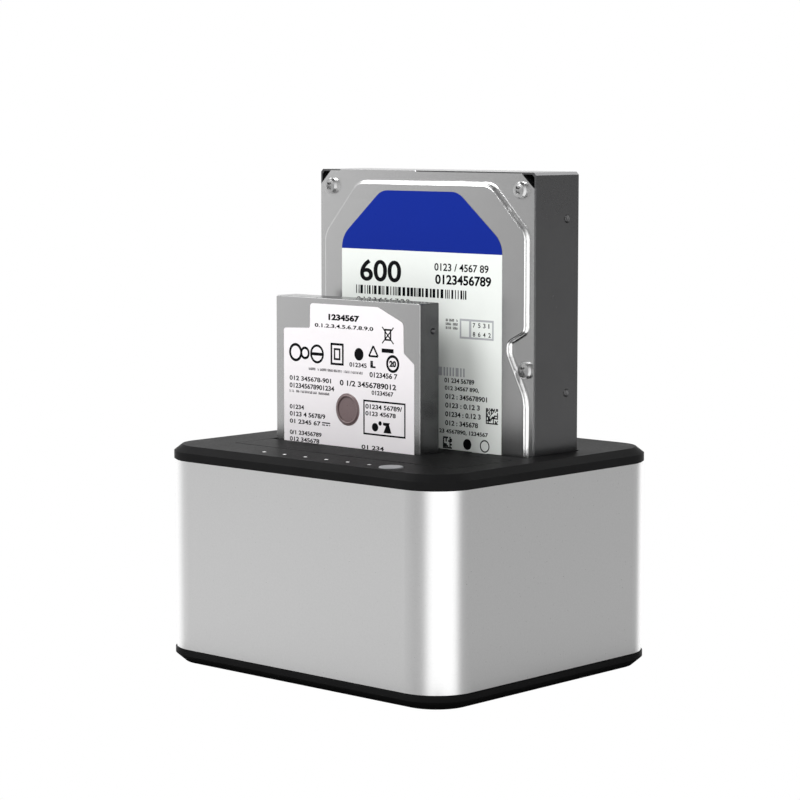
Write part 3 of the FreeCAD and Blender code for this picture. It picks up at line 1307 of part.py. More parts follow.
def main():
    os.makedirs("parts", exist_ok=True)
    for name, shape in build().items():
        if not shape.isValid():
            raise ValueError(f"{name} is not a valid shape")
        shape.exportStep(f"parts/{name}.step")
        print(f"{name}: {len(shape.Solids)} solids, {shape.Volume:.0f} mm3")


main()
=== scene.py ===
# %% [markdown]
# A drive duplicator is a small aluminium box with two slots in its black lid.
# Two disk drives stand in the slots, and the box copies one onto the other.
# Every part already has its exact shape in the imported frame, so this lesson is about
# looks: the camera, the light, a material for each finish, and the fine printing on the
# labels, which is too thin for the frame to carry.

# %% Load the frame
import bpy
import bmesh
import json
import math
import random
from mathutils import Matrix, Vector


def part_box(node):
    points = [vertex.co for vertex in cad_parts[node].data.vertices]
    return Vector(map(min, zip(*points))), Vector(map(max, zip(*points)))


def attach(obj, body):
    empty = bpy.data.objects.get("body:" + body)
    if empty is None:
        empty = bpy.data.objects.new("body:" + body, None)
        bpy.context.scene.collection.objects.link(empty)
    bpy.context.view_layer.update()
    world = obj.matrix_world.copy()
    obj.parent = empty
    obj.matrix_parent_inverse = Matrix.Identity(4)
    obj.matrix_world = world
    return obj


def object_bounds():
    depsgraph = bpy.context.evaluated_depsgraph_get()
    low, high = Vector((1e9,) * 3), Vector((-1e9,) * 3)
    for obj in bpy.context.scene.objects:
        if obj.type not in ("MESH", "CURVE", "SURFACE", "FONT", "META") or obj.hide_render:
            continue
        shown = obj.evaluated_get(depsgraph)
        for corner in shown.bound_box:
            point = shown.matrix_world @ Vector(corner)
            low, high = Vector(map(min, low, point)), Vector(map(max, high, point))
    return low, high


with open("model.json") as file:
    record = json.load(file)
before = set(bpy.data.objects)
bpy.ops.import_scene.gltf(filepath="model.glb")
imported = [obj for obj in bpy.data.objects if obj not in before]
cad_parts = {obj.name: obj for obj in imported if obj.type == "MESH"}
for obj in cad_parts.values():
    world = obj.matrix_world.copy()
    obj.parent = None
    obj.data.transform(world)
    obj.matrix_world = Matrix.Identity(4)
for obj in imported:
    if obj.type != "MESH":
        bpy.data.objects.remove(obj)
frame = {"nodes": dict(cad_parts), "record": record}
CAD_LOW, CAD_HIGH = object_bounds()
MM = 0.001
WHITE = (1.0, 1.0, 1.0, 1.0)

# %% [markdown]
# The camera comes first, because every later choice of light and grain is judged
# through it. A long lens from almost a metre away keeps the box's edges nearly parallel,
# as in a catalogue picture. It stands to the right of the front face and just above the
# lid, so that the deck shows as a thin bright sliver.

# %% Camera
CAMERA_AZIMUTH = 42.712     # degrees round from the front, anticlockwise from above
CAMERA_ELEVATION = 6.082
CAMERA_DISTANCE = 0.92758
CAMERA_AIM = Vector((-0.00213, -0.00197, 0.09471))
LENS_MM = 118.07
SENSOR_MM = 36.0
CLIP_END = 20.0


def hang(data, aim, azimuth, elevation, distance):
    """Hangs a camera or a lamp that far from the spot it aims at, and turns it there."""
    azimuth, elevation = math.radians(azimuth), math.radians(elevation)
    away = Vector((
        math.sin(azimuth) * math.cos(elevation),
        -math.cos(azimuth) * math.cos(elevation),
        math.sin(elevation),
    ))
    thing = bpy.data.objects.new(data.name, data)
    thing.location = aim + away * distance
    thing.rotation_euler = away.to_track_quat("Z", "Y").to_euler()
    bpy.context.scene.collection.objects.link(thing)
    return thing


lens = bpy.data.cameras.new("camera")
lens.lens = LENS_MM
lens.sensor_width = SENSOR_MM
lens.clip_end = CLIP_END
camera = hang(lens, CAMERA_AIM, CAMERA_AZIMUTH, CAMERA_ELEVATION, CAMERA_DISTANCE)
bpy.context.scene.camera = camera
print("camera stands at", [round(c, 3) for c in camera.location])

# %% [markdown]
# Node trees are built in code, so small helpers add a node, set its options and fill
# its sockets. A socket is given either a plain value or the output of another node, and
# the helper tells the two apart. The rest are shorthands for steps that most finishes
# take: arithmetic, a change of range, a blend of two colours, a place or a slope split
# into its three parts.

# %% Helpers for node trees
def add(tree, kind, sockets=None, **options):
    node = tree.nodes.new(kind)
    for name, value in options.items():
        setattr(node, name, value)
    for name, value in (sockets or {}).items():
        if isinstance(value, bpy.types.NodeSocket):
            tree.links.new(value, node.inputs[name])
        else:
            node.inputs[name].default_value = value
    return node


def calculate(tree, operation, first, second=0.0, third=0.0, clamp=False):
    sockets = {0: first, 1: second, 2: third}
    node = add(tree, "ShaderNodeMath", sockets, operation=operation, use_clamp=clamp)
    return node.outputs[0]


def remap(tree, value, low, high, new_low=0.0, new_high=1.0):
    sockets = {
        "Value": value, "From Min": low, "From Max": high, "To Min": new_low, "To Max": new_high,
    }
    return add(tree, "ShaderNodeMapRange", sockets).outputs["Result"]


def ramp(tree, value, stops):
    node = add(tree, "ShaderNodeValToRGB", {"Fac": value})
    elements = node.color_ramp.elements
    while len(elements) < len(stops):
        elements.new(0.5)
    for element, (place, level) in zip(elements, stops):
        element.position = place
        element.color = grey(level)
    return node.outputs["Color"]


def split(tree, vector):
    return add(tree, "ShaderNodeSeparateXYZ", {"Vector": vector}).outputs


def object_place(tree):
    return add(tree, "ShaderNodeTexCoord").outputs["Object"]


def face_slope(tree):
    return split(tree, add(tree, "ShaderNodeNewGeometry").outputs["True Normal"])


print("node helpers ready")

# %% Helpers for colours
def grey(level):
    return (level, level, level, 1.0)


def tint(colour, gain=1.0, lift=0.0):
    """The colour times the gain, plus the lift, with its alpha."""
    return (*(min(1.0, part * gain + lift) for part in colour), 1.0)


def varying_grey(tree, level):
    sockets = {"Red": level, "Green": level, "Blue": level}
    return add(tree, "ShaderNodeCombineColor", sockets).outputs[0]


def blend_colours(tree, factor, first, second):
    sockets = {0: factor, 6: first, 7: second}
    return add(tree, "ShaderNodeMix", sockets, data_type="RGBA").outputs[2]


print("colour helpers ready")

# %% [markdown]
# The stage is a white sweep. A bright card stands all round behind the object, which is
# what makes the outline of a metal box melt into the background. One broad soft light
# stands a little to the right of the camera and catches the near corner. Between them
# the ring of light is darker, and metal needs that contrast to look like metal. The
# ring goes on below the horizon, because a mirror that leans down by a few degrees looks
# there. A second card hangs high along the back, and only the faces that lean up and
# back catch it. Both rings come from one node group recipe. Rays that go straight to
# the camera see plain white instead.

# %% Helpers for groups
NUMBER = "NodeSocketFloat"
VECTOR = "NodeSocketVector"


def new_group(name, inputs, output):
    tree = bpy.data.node_groups.new(name, "ShaderNodeTree")
    for label, kind, value in inputs:
        socket = tree.interface.new_socket(label, in_out="INPUT", socket_type=kind)
        socket.default_value = value
    tree.interface.new_socket(output, in_out="OUTPUT", socket_type=NUMBER)
    return tree, tree.nodes.new("NodeGroupInput").outputs


def close_group(tree, value):
    """Leads the value to the group's one output."""
    out = tree.nodes.new("NodeGroupOutput")
    tree.links.new(value, out.inputs[0])
    print("group:", tree.name)
    return tree


def use(tree, group, **sockets):
    return add(tree, "ShaderNodeGroup", sockets, node_tree=group).outputs[0]


print("group helpers ready")

# %% Two rings of light, low and high
RING = [            # degrees round from +X, anticlockwise, and brightness
    (-180, 0.465), (-172, 0.440), (-162, 0.345), (-150, 0.258), (-140, 0.247), (-130, 0.222),
    (-118, 0.196), (-100, 0.176), (-82, 0.181), (-61, 0.560), (-2, 0.560), (17, 0.158),
    (40, 0.156), (69, 0.161), (92, 0.480), (180, 0.465),
]
RING_GAIN = 2.8
HIGH_RING = [(-180, 1.0), (-150, 1.0), (-135, 0.0), (66, 0.0), (82, 1.0), (180, 1.0)]
HIGH_GAIN = 2.6


def make_ring_group(name, stops, gain):
    tree, given = new_group(name, [("East", NUMBER, 1.0), ("North", NUMBER, 0.0)], "Level")
    angle = calculate(tree, "ARCTAN2", given["North"], given["East"])
    turn = remap(tree, angle, -math.pi, math.pi)
    level = ramp(tree, turn, [((degrees + 180) / 360, level) for degrees, level in stops])
    return close_group(tree, calculate(tree, "MULTIPLY", level, gain))


RING_LIGHT = make_ring_group("ring_of_light", RING, RING_GAIN)
HIGH_LIGHT = make_ring_group("high_ring", HIGH_RING, HIGH_GAIN)

# %% Sky
HEIGHTS = [         # height of the ray's direction, -1 straight down to 1 straight up
    (-1.0, 1.0), (-0.01, 1.0), (0.0, 0.95), (0.1, 1.0), (0.45, 0.75), (0.8, 0.3), (1.0, 0.12),
]
HIGH_BAND = [(-1.0, 0.0), (0.50, 0.0), (0.58, 1.0), (0.76, 1.0), (0.84, 0.0)]


def plain_to_camera(tree, plain, lit):
    """Rays straight from the camera see the plain shader, all others the lit one."""
    seen = add(tree, "ShaderNodeLightPath").outputs["Is Camera Ray"]
    sockets = {0: seen, 1: lit.outputs[0], 2: plain.outputs[0]}
    return add(tree, "ShaderNodeMixShader", sockets).outputs[0]


def make_sky():
    world = bpy.data.worlds.new("studio")
    world.use_nodes = True
    tree = world.node_tree
    tree.nodes.clear()
    ray = split(tree, add(tree, "ShaderNodeTexCoord").outputs["Generated"])
    ring = use(tree, RING_LIGHT, East=ray["X"], North=ray["Y"])
    height = remap(tree, ray["Z"], -1.0, 1.0)
    falloff = ramp(tree, height, [((z + 1) / 2, level) for z, level in HEIGHTS])
    high_ring = use(tree, HIGH_LIGHT, East=ray["X"], North=ray["Y"])
    band = ramp(tree, height, [((z + 1) / 2, level) for z, level in HIGH_BAND])
    card = calculate(tree, "MULTIPLY", high_ring, band)
    strength = calculate(tree, "MULTIPLY_ADD", ring, falloff, card)
    lit = add(tree, "ShaderNodeBackground", {"Color": WHITE, "Strength": strength})
    plain = add(tree, "ShaderNodeBackground", {"Color": WHITE, "Strength": 1.0})
    add(tree, "ShaderNodeOutputWorld", {"Surface": plain_to_camera(tree, plain, lit)})
    bpy.context.scene.world = world


make_sky()
bpy.context.scene.view_settings.view_transform = "Standard"
print("sky ring with", len(RING), "stops")

# %% [markdown]
# One soft lamp hangs in front of the box, above the drives and quite near them. It is
# near so that its light falls off down the labels, which shows how tall they stand.

# %% Lamp
LAMP_AIM = Vector((-0.01, -0.01, 0.14))
LAMP_AZIMUTH = -26.0
LAMP_ELEVATION = 42.0
LAMP_DISTANCE = 0.55
LAMP_SIZE = 0.30
LAMP_WATTS = 2.45

lamp = bpy.data.lights.new("soft_lamp", "AREA")
lamp.shape = "DISK"
lamp.size = LAMP_SIZE
lamp.energy = LAMP_WATTS
hang(lamp, LAMP_AIM, LAMP_AZIMUTH, LAMP_ELEVATION, LAMP_DISTANCE)
print("lamp of", LAMP_WATTS, "W at", LAMP_DISTANCE, "m")

# %% [markdown]
# The floor is a pale sheet. It shows as plain white to the camera. Everything else sees
# through it to the ring of light below the horizon, as a mirror sees the room again in a
# polished table top. It is closed close under the box, where a real floor lies in
# shadow, and fully clear a little way out.

# %% Floor
FLOOR_SIZE = 12.0
FLOOR_ALBEDO = 0.12
SHADOW_REACH = 0.004
FULL_REACH = 0.020


def make_floor():
    bpy.ops.mesh.primitive_plane_add(size=FLOOR_SIZE, location=(0, 0, 0))
    floor = bpy.context.object
    floor.name = "floor"
    material = bpy.data.materials.new("floor_card")
    material.use_nodes = True
    tree = material.node_tree
    tree.nodes.clear()
    place = split(tree, object_place(tree))
    across = calculate(tree, "SUBTRACT", calculate(tree, "ABSOLUTE", place["X"]), CAD_HIGH.x)
    deep = calculate(tree, "SUBTRACT", calculate(tree, "ABSOLUTE", place["Y"]), CAD_HIGH.y)
    clear_of_box = calculate(tree, "MAXIMUM", across, deep)
    opening = remap(tree, clear_of_box, SHADOW_REACH, FULL_REACH)
    card = add(tree, "ShaderNodeBsdfDiffuse", {"Color": grey(FLOOR_ALBEDO)})
    clear = add(tree, "ShaderNodeBsdfTransparent", {"Color": opening})
    lit = add(tree, "ShaderNodeAddShader", {0: card.outputs[0], 1: clear.outputs[0]})
    plain = add(tree, "ShaderNodeEmission", {"Color": WHITE, "Strength": 1.0})
    add(tree, "ShaderNodeOutputMaterial", {"Surface": plain_to_camera(tree, plain, lit)})
    floor.data.materials.append(material)


make_floor()
print("floor laid")

# %% [markdown]
# Four effects turn up in many of the finishes, so each is a node group, built once and
# reused with its own values: fine grain, slow patches of handling and dust, edges that
# carry wear and a painted highlight, and the long thin lines of rolled or brushed sheet.

# %% Grain: a fine speckle from two sizes of noise
COARSE_SHARE = 0.37     # scale of the coarser noise, as a share of the finer one's


def make_grain_group():
    inputs = [("Size", NUMBER, 0.0004), ("Amount", NUMBER, 1.0)]
    tree, given = new_group("grain", inputs, "Speckle")
    place = object_place(tree)
    scale = calculate(tree, "DIVIDE", 1.0, given["Size"])
    fine = add(tree, "ShaderNodeTexNoise", {"Vector": place, "Scale": scale, "Detail": 2.0})
    wider = calculate(tree, "MULTIPLY", scale, COARSE_SHARE)
    coarse = add(tree, "ShaderNodeTexNoise", {"Vector": place, "Scale": wider, "Detail": 1.0})
    both = calculate(tree, "ADD", fine.outputs["Fac"], coarse.outputs["Fac"])
    centred = calculate(tree, "SUBTRACT", both, 1.0)
    return close_group(tree, calculate(tree, "MULTIPLY", centred, given["Amount"]))


GRAIN = make_grain_group()

# %% Patches: slow uneven areas left by handling and dust
CLOUD = {"Detail": 5.0, "Roughness": 0.6, "Distortion": 0.4}


def make_patches_group():
    inputs = [("Size", NUMBER, 0.03), ("Contrast", NUMBER, 2.0)]
    tree, given = new_group("patches", inputs, "Mask")
    scale = calculate(tree, "DIVIDE", 1.0, given["Size"])
    sockets = {"Vector": object_place(tree), "Scale": scale, **CLOUD}
    cloud = add(tree, "ShaderNodeTexNoise", sockets)
    centred = calculate(tree, "SUBTRACT", cloud.outputs["Fac"], 0.5)
    spread = calculate(tree, "MULTIPLY_ADD", centred, given["Contrast"], 0.5, clamp=True)
    return close_group(tree, spread)


PATCHES = make_patches_group()

# %% Edges: where a rounded-over normal leaves the real one
NO_BEND, FULL_BEND = 0.99, 0.8      # how alike the two normals are
CHIP_SCALE = 900.0
CHIP_LOW, CHIP_HIGH = 0.35, 0.65


def make_edges_group():
    inputs = [("Radius", NUMBER, 0.0004), ("Breakup", NUMBER, 0.5)]
    tree, given = new_group("edges", inputs, "Mask")
    rounded = add(tree, "ShaderNodeBevel", {"Radius": given["Radius"]}, samples=4)
    real = add(tree, "ShaderNodeNewGeometry").outputs["Normal"]
    sockets = {0: rounded.outputs["Normal"], 1: real}
    alike = add(tree, "ShaderNodeVectorMath", sockets, operation="DOT_PRODUCT")
    bend = remap(tree, alike.outputs["Value"], NO_BEND, FULL_BEND)
    sockets = {"Vector": object_place(tree), "Scale": CHIP_SCALE, "Detail": 3.0}
    noise = add(tree, "ShaderNodeTexNoise", sockets)
    broken = remap(tree, noise.outputs["Fac"], CHIP_LOW, CHIP_HIGH)
    kept = calculate(tree, "SUBTRACT", 1.0, given["Breakup"])
    strength = calculate(tree, "MULTIPLY_ADD", broken, given["Breakup"], kept)
    return close_group(tree, calculate(tree, "MULTIPLY", bend, strength, clamp=True))


EDGES = make_edges_group()

# %% Lines: noise stretched along one axis, as rolled sheet has
def make_lines_group():
    tree, given = new_group("lines", [("Across", VECTOR, (4000.0, 4000.0, 60.0))], "Lines")
    sockets = {0: object_place(tree), 1: given["Across"]}
    stretched = add(tree, "ShaderNodeVectorMath", sockets, operation="MULTIPLY")
    sockets = {"Vector": stretched.outputs[0], "Scale": 1.0, "Detail": 3.0}
    noise = add(tree, "ShaderNodeTexNoise", sockets)
    return close_group(tree, calculate(tree, "SUBTRACT", noise.outputs["Fac"], 0.5))


LINES = make_lines_group()

# %% [markdown]
# Each material starts from the same bare Principled shader. The helpers lead a value
# into one of its sockets, bend the surface with a bump, and hand the material to every
# node that the record lists under its slot. The frame's meshes stay as they are: only
# their material changes.

# %% Helpers for materials
def new_finish(name, **constants):
    material = bpy.data.materials.new(name)
    material.use_nodes = True
    tree = material.node_tree
    shader = tree.nodes["Principled BSDF"]
    for socket, value in constants.items():
        shader.inputs[socket.replace("_", " ")].default_value = value
    return material, tree, shader


def drive_socket(tree, shader, name, value):
    tree.links.new(value, shader.inputs[name])


def bump(tree, shader, height, distance, strength):
    sockets = {"Height": height, "Distance": distance, "Strength": strength}
    drive_socket(tree, shader, "Normal", add(tree, "ShaderNodeBump", sockets).outputs["Normal"])


SLOT_NODES = {}
for subpart in frame["record"]["subparts"]:
    SLOT_NODES.setdefault(subpart["material_slot"], []).append(subpart["node"])


def give(slot, make, *values, **options):
    """Makes the slot's finish and hands it to every node under that slot."""
    material = make(slot, *values, **options)
    for name in SLOT_NODES[slot]:
        slots = frame["nodes"][name].data.materials
        slots.clear()
        slots.append(material)
    print(f"{slot}: {len(SLOT_NODES[slot])} nodes")


print("slots:", len(SLOT_NODES))

# %% [markdown]
# The sleeve is drawn aluminium, blasted with glass beads and anodised clear. Blasting
# leaves a fine even speckle and a soft broad shine. Its two rims are cut after
# blasting, so they are bright narrow chamfers. The rims are found by their slope:
# they are the only faces that neither stand upright nor lie flat.

# %% Blasted aluminium
BLASTED_TONE = 0.65
BLASTED_ROUGHNESS = 0.29
CUT_TONE = 0.95
CUT_ROUGHNESS = 0.22
CUT_SLOPE, CUT_SPAN = 0.7, 0.15     # a cut face's slope, and how far it may be off


def blasted_aluminium(name):
    material, tree, shader = new_finish(name, Metallic=1.0)
    speckle = use(tree, GRAIN, Size=0.00028, Amount=1.0)
    patches = use(tree, PATCHES, Size=0.05, Contrast=1.2)
    steep = calculate(tree, "ABSOLUTE", face_slope(tree)["Z"])
    cut = calculate(tree, "COMPARE", steep, CUT_SLOPE, CUT_SPAN)
    tone = calculate(tree, "MULTIPLY_ADD", speckle, 0.05, BLASTED_TONE)
    tone = calculate(tree, "MULTIPLY_ADD", patches, -0.006, tone)
    colour = blend_colours(tree, cut, varying_grey(tree, tone), grey(CUT_TONE))
    drive_socket(tree, shader, "Base Color", colour)
    rough = calculate(tree, "MULTIPLY_ADD", speckle, 0.04, BLASTED_ROUGHNESS)
    drive_socket(tree, shader, "Roughness", remap(tree, cut, 0.0, 1.0, rough, CUT_ROUGHNESS))
    smooth = calculate(tree, "SUBTRACT", 1.0, cut)
    raised = calculate(tree, "MULTIPLY", speckle, smooth)
    bump(tree, shader, raised, distance=0.000002, strength=0.4)
    return material


give("blasted_aluminium", blasted_aluminium)

# %% [markdown]
# The lid, base, doors and bay frame are black ABS from a spark-eroded mould. The mould
# leaves a fine even pitting that takes most of the shine off, and handling polishes it
# a little along the edges. There a lighter tone stands for both wear and a painted
# highlight. One function makes every moulded plastic, and each row of the table says
# what colour it is, how rough and how coarse.

# %% Moulded plastics
def moulded(name, colour, roughness, pit=0.00035, depth=0.00001, edge_wear_and_highlight=0.02, specular=0.5):
    material, tree, shader = new_finish(name, Specular_IOR_Level=specular)
    speckle = use(tree, GRAIN, Size=pit, Amount=1.0)
    patches = use(tree, PATCHES, Size=0.02, Contrast=1.6)
    edges = use(tree, EDGES, Radius=0.0003, Breakup=0.4)
    tone = blend_colours(tree, patches, tint(colour), tint(colour, 1.35, 0.002))
    # Painted highlight and wear: the edges get a lighter copy of the colour.
    tone = blend_colours(tree, edges, tone, tint(colour, lift=edge_wear_and_highlight))
    drive_socket(tree, shader, "Base Color", tone)
    rough = calculate(tree, "MULTIPLY_ADD", patches, 0.08, roughness - 0.04)
    rough = calculate(tree, "MULTIPLY_ADD", speckle, 0.10, rough)
    rough = calculate(tree, "MULTIPLY_ADD", edges, -0.1, rough, clamp=True)
    drive_socket(tree, shader, "Roughness", rough)
    bump(tree, shader, speckle, distance=depth, strength=0.6)
    return material


PLASTICS = [        # slot, colour, roughness, and what differs from the usual mould
    ("black_abs", (0.0085, 0.0085, 0.0087), 0.42, {"edge_wear_and_highlight": 0.004, "specular": 0.012}),
    ("foot_rubber", (0.012, 0.012, 0.012), 0.75, {"pit": 0.0006, "edge_wear_and_highlight": 0.0}),
    ("connector_black", (0.010, 0.010, 0.011), 0.42, {"pit": 0.0005}),
    ("chip_epoxy", (0.018, 0.018, 0.019), 0.55, {"pit": 0.0002}),
    ("rocker_black", (0.009, 0.009, 0.009), 0.25, {"pit": 0.0008, "depth": 0.000003}),
    ("header_white", (0.75, 0.71, 0.60), 0.45, {"pit": 0.0008, "edge_wear_and_highlight": -0.05}),
    ("port_blue", (0.02, 0.10, 0.45), 0.4, {"pit": 0.0008}),
    ("cable_grey", (0.42, 0.42, 0.44), 0.5, {"pit": 0.0010}),
    ("button_grey", (0.185, 0.19, 0.20), 0.34, {"pit": 0.0005, "edge_wear_and_highlight": 0.04}),
]
for slot, colour, roughness, options in PLASTICS:
    give(slot, moulded, colour, roughness, **options)

# %% [markdown]
# The small metal parts are bright sheet, turned bar or plated screws. They share one
# metal, with faint lines from the tool or the roll and a little dulling in patches.
# Each edge gets a painted highlight, a lighter tone along a thin rim, which is thinner on the
# drives' screws.

# %% Small metals
TOOL_LINES = (2500.0, 2500.0, 300.0)
USUAL_RIM = 0.0002
SCREW_RIM = 0.00003


def plain_metal(name, colour, roughness, rim=USUAL_RIM):
    material, tree, shader = new_finish(name, Metallic=1.0)
    lines = use(tree, LINES, Across=TOOL_LINES)
    patches = use(tree, PATCHES, Size=0.008, Contrast=2.0)
    edges = use(tree, EDGES, Radius=rim, Breakup=0.3)
    tone = blend_colours(tree, patches, tint(colour), tint(colour, 0.82))
    # Painted highlight: the edges get a lighter copy of the colour.
    tone = blend_colours(tree, edges, tone, tint(colour, 1.25))
    drive_socket(tree, shader, "Base Color", tone)
    rough = calculate(tree, "MULTIPLY_ADD", patches, 0.12, roughness)
    rough = calculate(tree, "MULTIPLY_ADD", lines, 0.2, rough, clamp=True)
    drive_socket(tree, shader, "Roughness", rough)
    bump(tree, shader, lines, distance=0.000004, strength=0.4)
    return material


METALS = [          # slot, colour, roughness, rim
    ("zinc_steel", (0.62, 0.63, 0.66), 0.25, USUAL_RIM),
    ("spring_steel", (0.10, 0.10, 0.105), 0.35, USUAL_RIM),
    ("black_steel", (0.05, 0.05, 0.055), 0.35, USUAL_RIM),
    ("tinned_steel", (0.72, 0.72, 0.73), 0.22, USUAL_RIM),
    ("can_aluminium", (0.75, 0.75, 0.76), 0.28, USUAL_RIM),
    ("drive_screw_steel", (0.52, 0.52, 0.52), 0.24, SCREW_RIM),
    ("contact_gold", (0.85, 0.60, 0.22), 0.22, USUAL_RIM),
]
for row in METALS:
    give(row[0], plain_metal, *row[1:])

# %% [markdown]
# Circuit boards are glass cloth under a coat of solder mask. Under the mask run copper
# tracks, which show as slightly lighter lines with a slightly raised surface. Tracks
# run square to the board, so a brick pattern with thin gaps stands for them. Between
# them lie scattered bare test pads, the cells of a cellular pattern cut down to dots.

# %% Circuit boards
TRACKS = {"Scale": 1.0, "Mortar Size": 0.00022, "Brick Width": 0.011, "Row Height": 0.0014}
PAD_SCALE = 190.0       # cells to a metre
PAD_REACH = 0.085       # radius of a pad, as a share of its cell
PAD_COLOUR = (0.62, 0.60, 0.52, 1.0)
BOARD_GLOSS, BOARD_SATIN = 0.28, 0.42       # roughness where it is clean and where handled


def board_mask(name, colour, facing_rear):
    material, tree, shader = new_finish(name, Coat_Weight=0.3, Coat_Roughness=0.15)
    place = object_place(tree)
    if facing_rear:
        spot = split(tree, place)
        place = add(tree, "ShaderNodeCombineXYZ", {"X": spot["X"], "Y": spot["Z"]}).outputs[0]
    tracks = add(
        tree, "ShaderNodeTexBrick", {"Vector": place, **TRACKS},
        offset=0.37, squash=0.6, squash_frequency=3,
    )
    patches = use(tree, PATCHES, Size=0.012, Contrast=3.0)
    mask = calculate(tree, "MULTIPLY", tracks.outputs["Fac"], patches)
    sockets = {"Vector": place, "Scale": PAD_SCALE, "Randomness": 0.8}
    cells = add(tree, "ShaderNodeTexVoronoi", sockets, voronoi_dimensions="2D")
    pads = calculate(tree, "LESS_THAN", cells.outputs["Distance"], PAD_REACH)
    masked = blend_colours(tree, mask, tint(colour), tint(colour, 2.2, 0.01))
    drive_socket(tree, shader, "Base Color", blend_colours(tree, pads, masked, PAD_COLOUR))
    drive_socket(tree, shader, "Metallic", pads)
    rough = remap(tree, patches, 0.0, 1.0, BOARD_GLOSS, BOARD_SATIN)
    drive_socket(tree, shader, "Roughness", rough)
    raised = calculate(tree, "MAXIMUM", mask, pads)
    bump(tree, shader, raised, distance=0.00003, strength=0.6)
    return material


give("circuit_board", board_mask, (0.010, 0.085, 0.035), facing_rear=False)
give("drive_board", board_mask, (0.006, 0.060, 0.035), facing_rear=True)

# %% [markdown]
# Under the deck six small lamps shine up six clear light pipes. Five are lit and the
# sixth, beside the button, only glows. The pipes are one node, so the glow is chosen by
# where along the row a point lies.

# %% Light pipes
PIPE_PITCH = 0.010
PIPE_GLOW = 0.35
PIPE_IDLE = 0.02


def clear_pipes(name):
    material, tree, shader = new_finish(name, IOR=1.49, Emission_Strength=1.0)
    low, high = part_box("light_pipes")
    along = split(tree, object_place(tree))["X"]
    lit = calculate(tree, "LESS_THAN", along, high.x - PIPE_PITCH / 2)
    speckle = use(tree, GRAIN, Size=0.0003, Amount=1.0)
    milky = remap(tree, speckle, -0.5, 0.5, 0.55, 0.85)
    drive_socket(tree, shader, "Base Color", varying_grey(tree, milky))
    drive_socket(tree, shader, "Roughness", remap(tree, speckle, -0.5, 0.5, 0.2, 0.4))
    glow = remap(tree, lit, 0.0, 1.0, PIPE_IDLE, PIPE_GLOW)
    drive_socket(tree, shader, "Emission Color", varying_grey(tree, glow))
    print("light pipes run from", round(low.x, 4), "to", round(high.x, 4))
    return material


give("light_clear", clear_pipes)

# %% [markdown]
# A disk drive is an aluminium casting with a dark electro-coat and a stamped steel
# cover. The coat is thin and satin, so it still shows a little of the casting's grain.
# The cover is pressed from rolled stainless sheet, whose lines run across the drive. Its
# tone falls gently to the right and downward: painted shade, standing for the dimmer
# light and the black deck that the cover mirrors there. The large drive's cover is drawn
# deep, and its steep walls, which are found by their slope, get a lighter tone: a painted
# highlight that brightens the lines of light along them.

# %% Drive castings
def coated_casting(name, colour, roughness):
    material, tree, shader = new_finish(name, Metallic=0.9)
    speckle = use(tree, GRAIN, Size=0.0004, Amount=1.0)
    patches = use(tree, PATCHES, Size=0.02, Contrast=1.5)
    edges = use(tree, EDGES, Radius=0.0002, Breakup=0.5)
    tone = blend_colours(tree, patches, tint(colour), tint(colour, 0.85))
    # Painted highlight: the edges get a lighter tone.
    tone = blend_colours(tree, edges, tone, tint(colour, 1.15, 0.004))
    drive_socket(tree, shader, "Base Color", tone)
    rough = calculate(tree, "MULTIPLY_ADD", speckle, 0.02, roughness)
    rough = calculate(tree, "MULTIPLY_ADD", patches, 0.04, rough, clamp=True)
    drive_socket(tree, shader, "Roughness", rough)
    bump(tree, shader, speckle, distance=0.000002, strength=0.2)
    return material


give("drive_dark_paint", coated_casting, (0.125, 0.125, 0.127), 0.24)
give("small_drive_paint", coated_casting, (0.100, 0.100, 0.102), 0.22)

# %% Drive covers
# Painted shade: the covers grow darker to the right and downward, for the dim light and the black
# deck that they mirror there.
COVER_SHADE_LEFT_TONE = 0.66
COVER_SHADE_RIGHT_TONE = 0.49
COVER_SHADE_FOOT_SHARE = 0.80     # tone at the foot of a cover, as a share of its tone at the top
COVER_SHADE_FALL = 0.1            # and how far below the top that is, in metres
COVER_ROUGHNESS = 0.25
ROLLED_LINES = (60.0, 60.0, 5000.0)
# Painted highlight: the deep cover's steep walls, found by slope, get a lighter tone that
# brightens the lines of light along them. The polish in the note below is this painted highlight.
WALL_HIGHLIGHT_TONE = 0.80
WALL_HIGHLIGHT_FROM, WALL_HIGHLIGHT_FULL = 0.45, 0.60     # slope at which the polish starts and is full


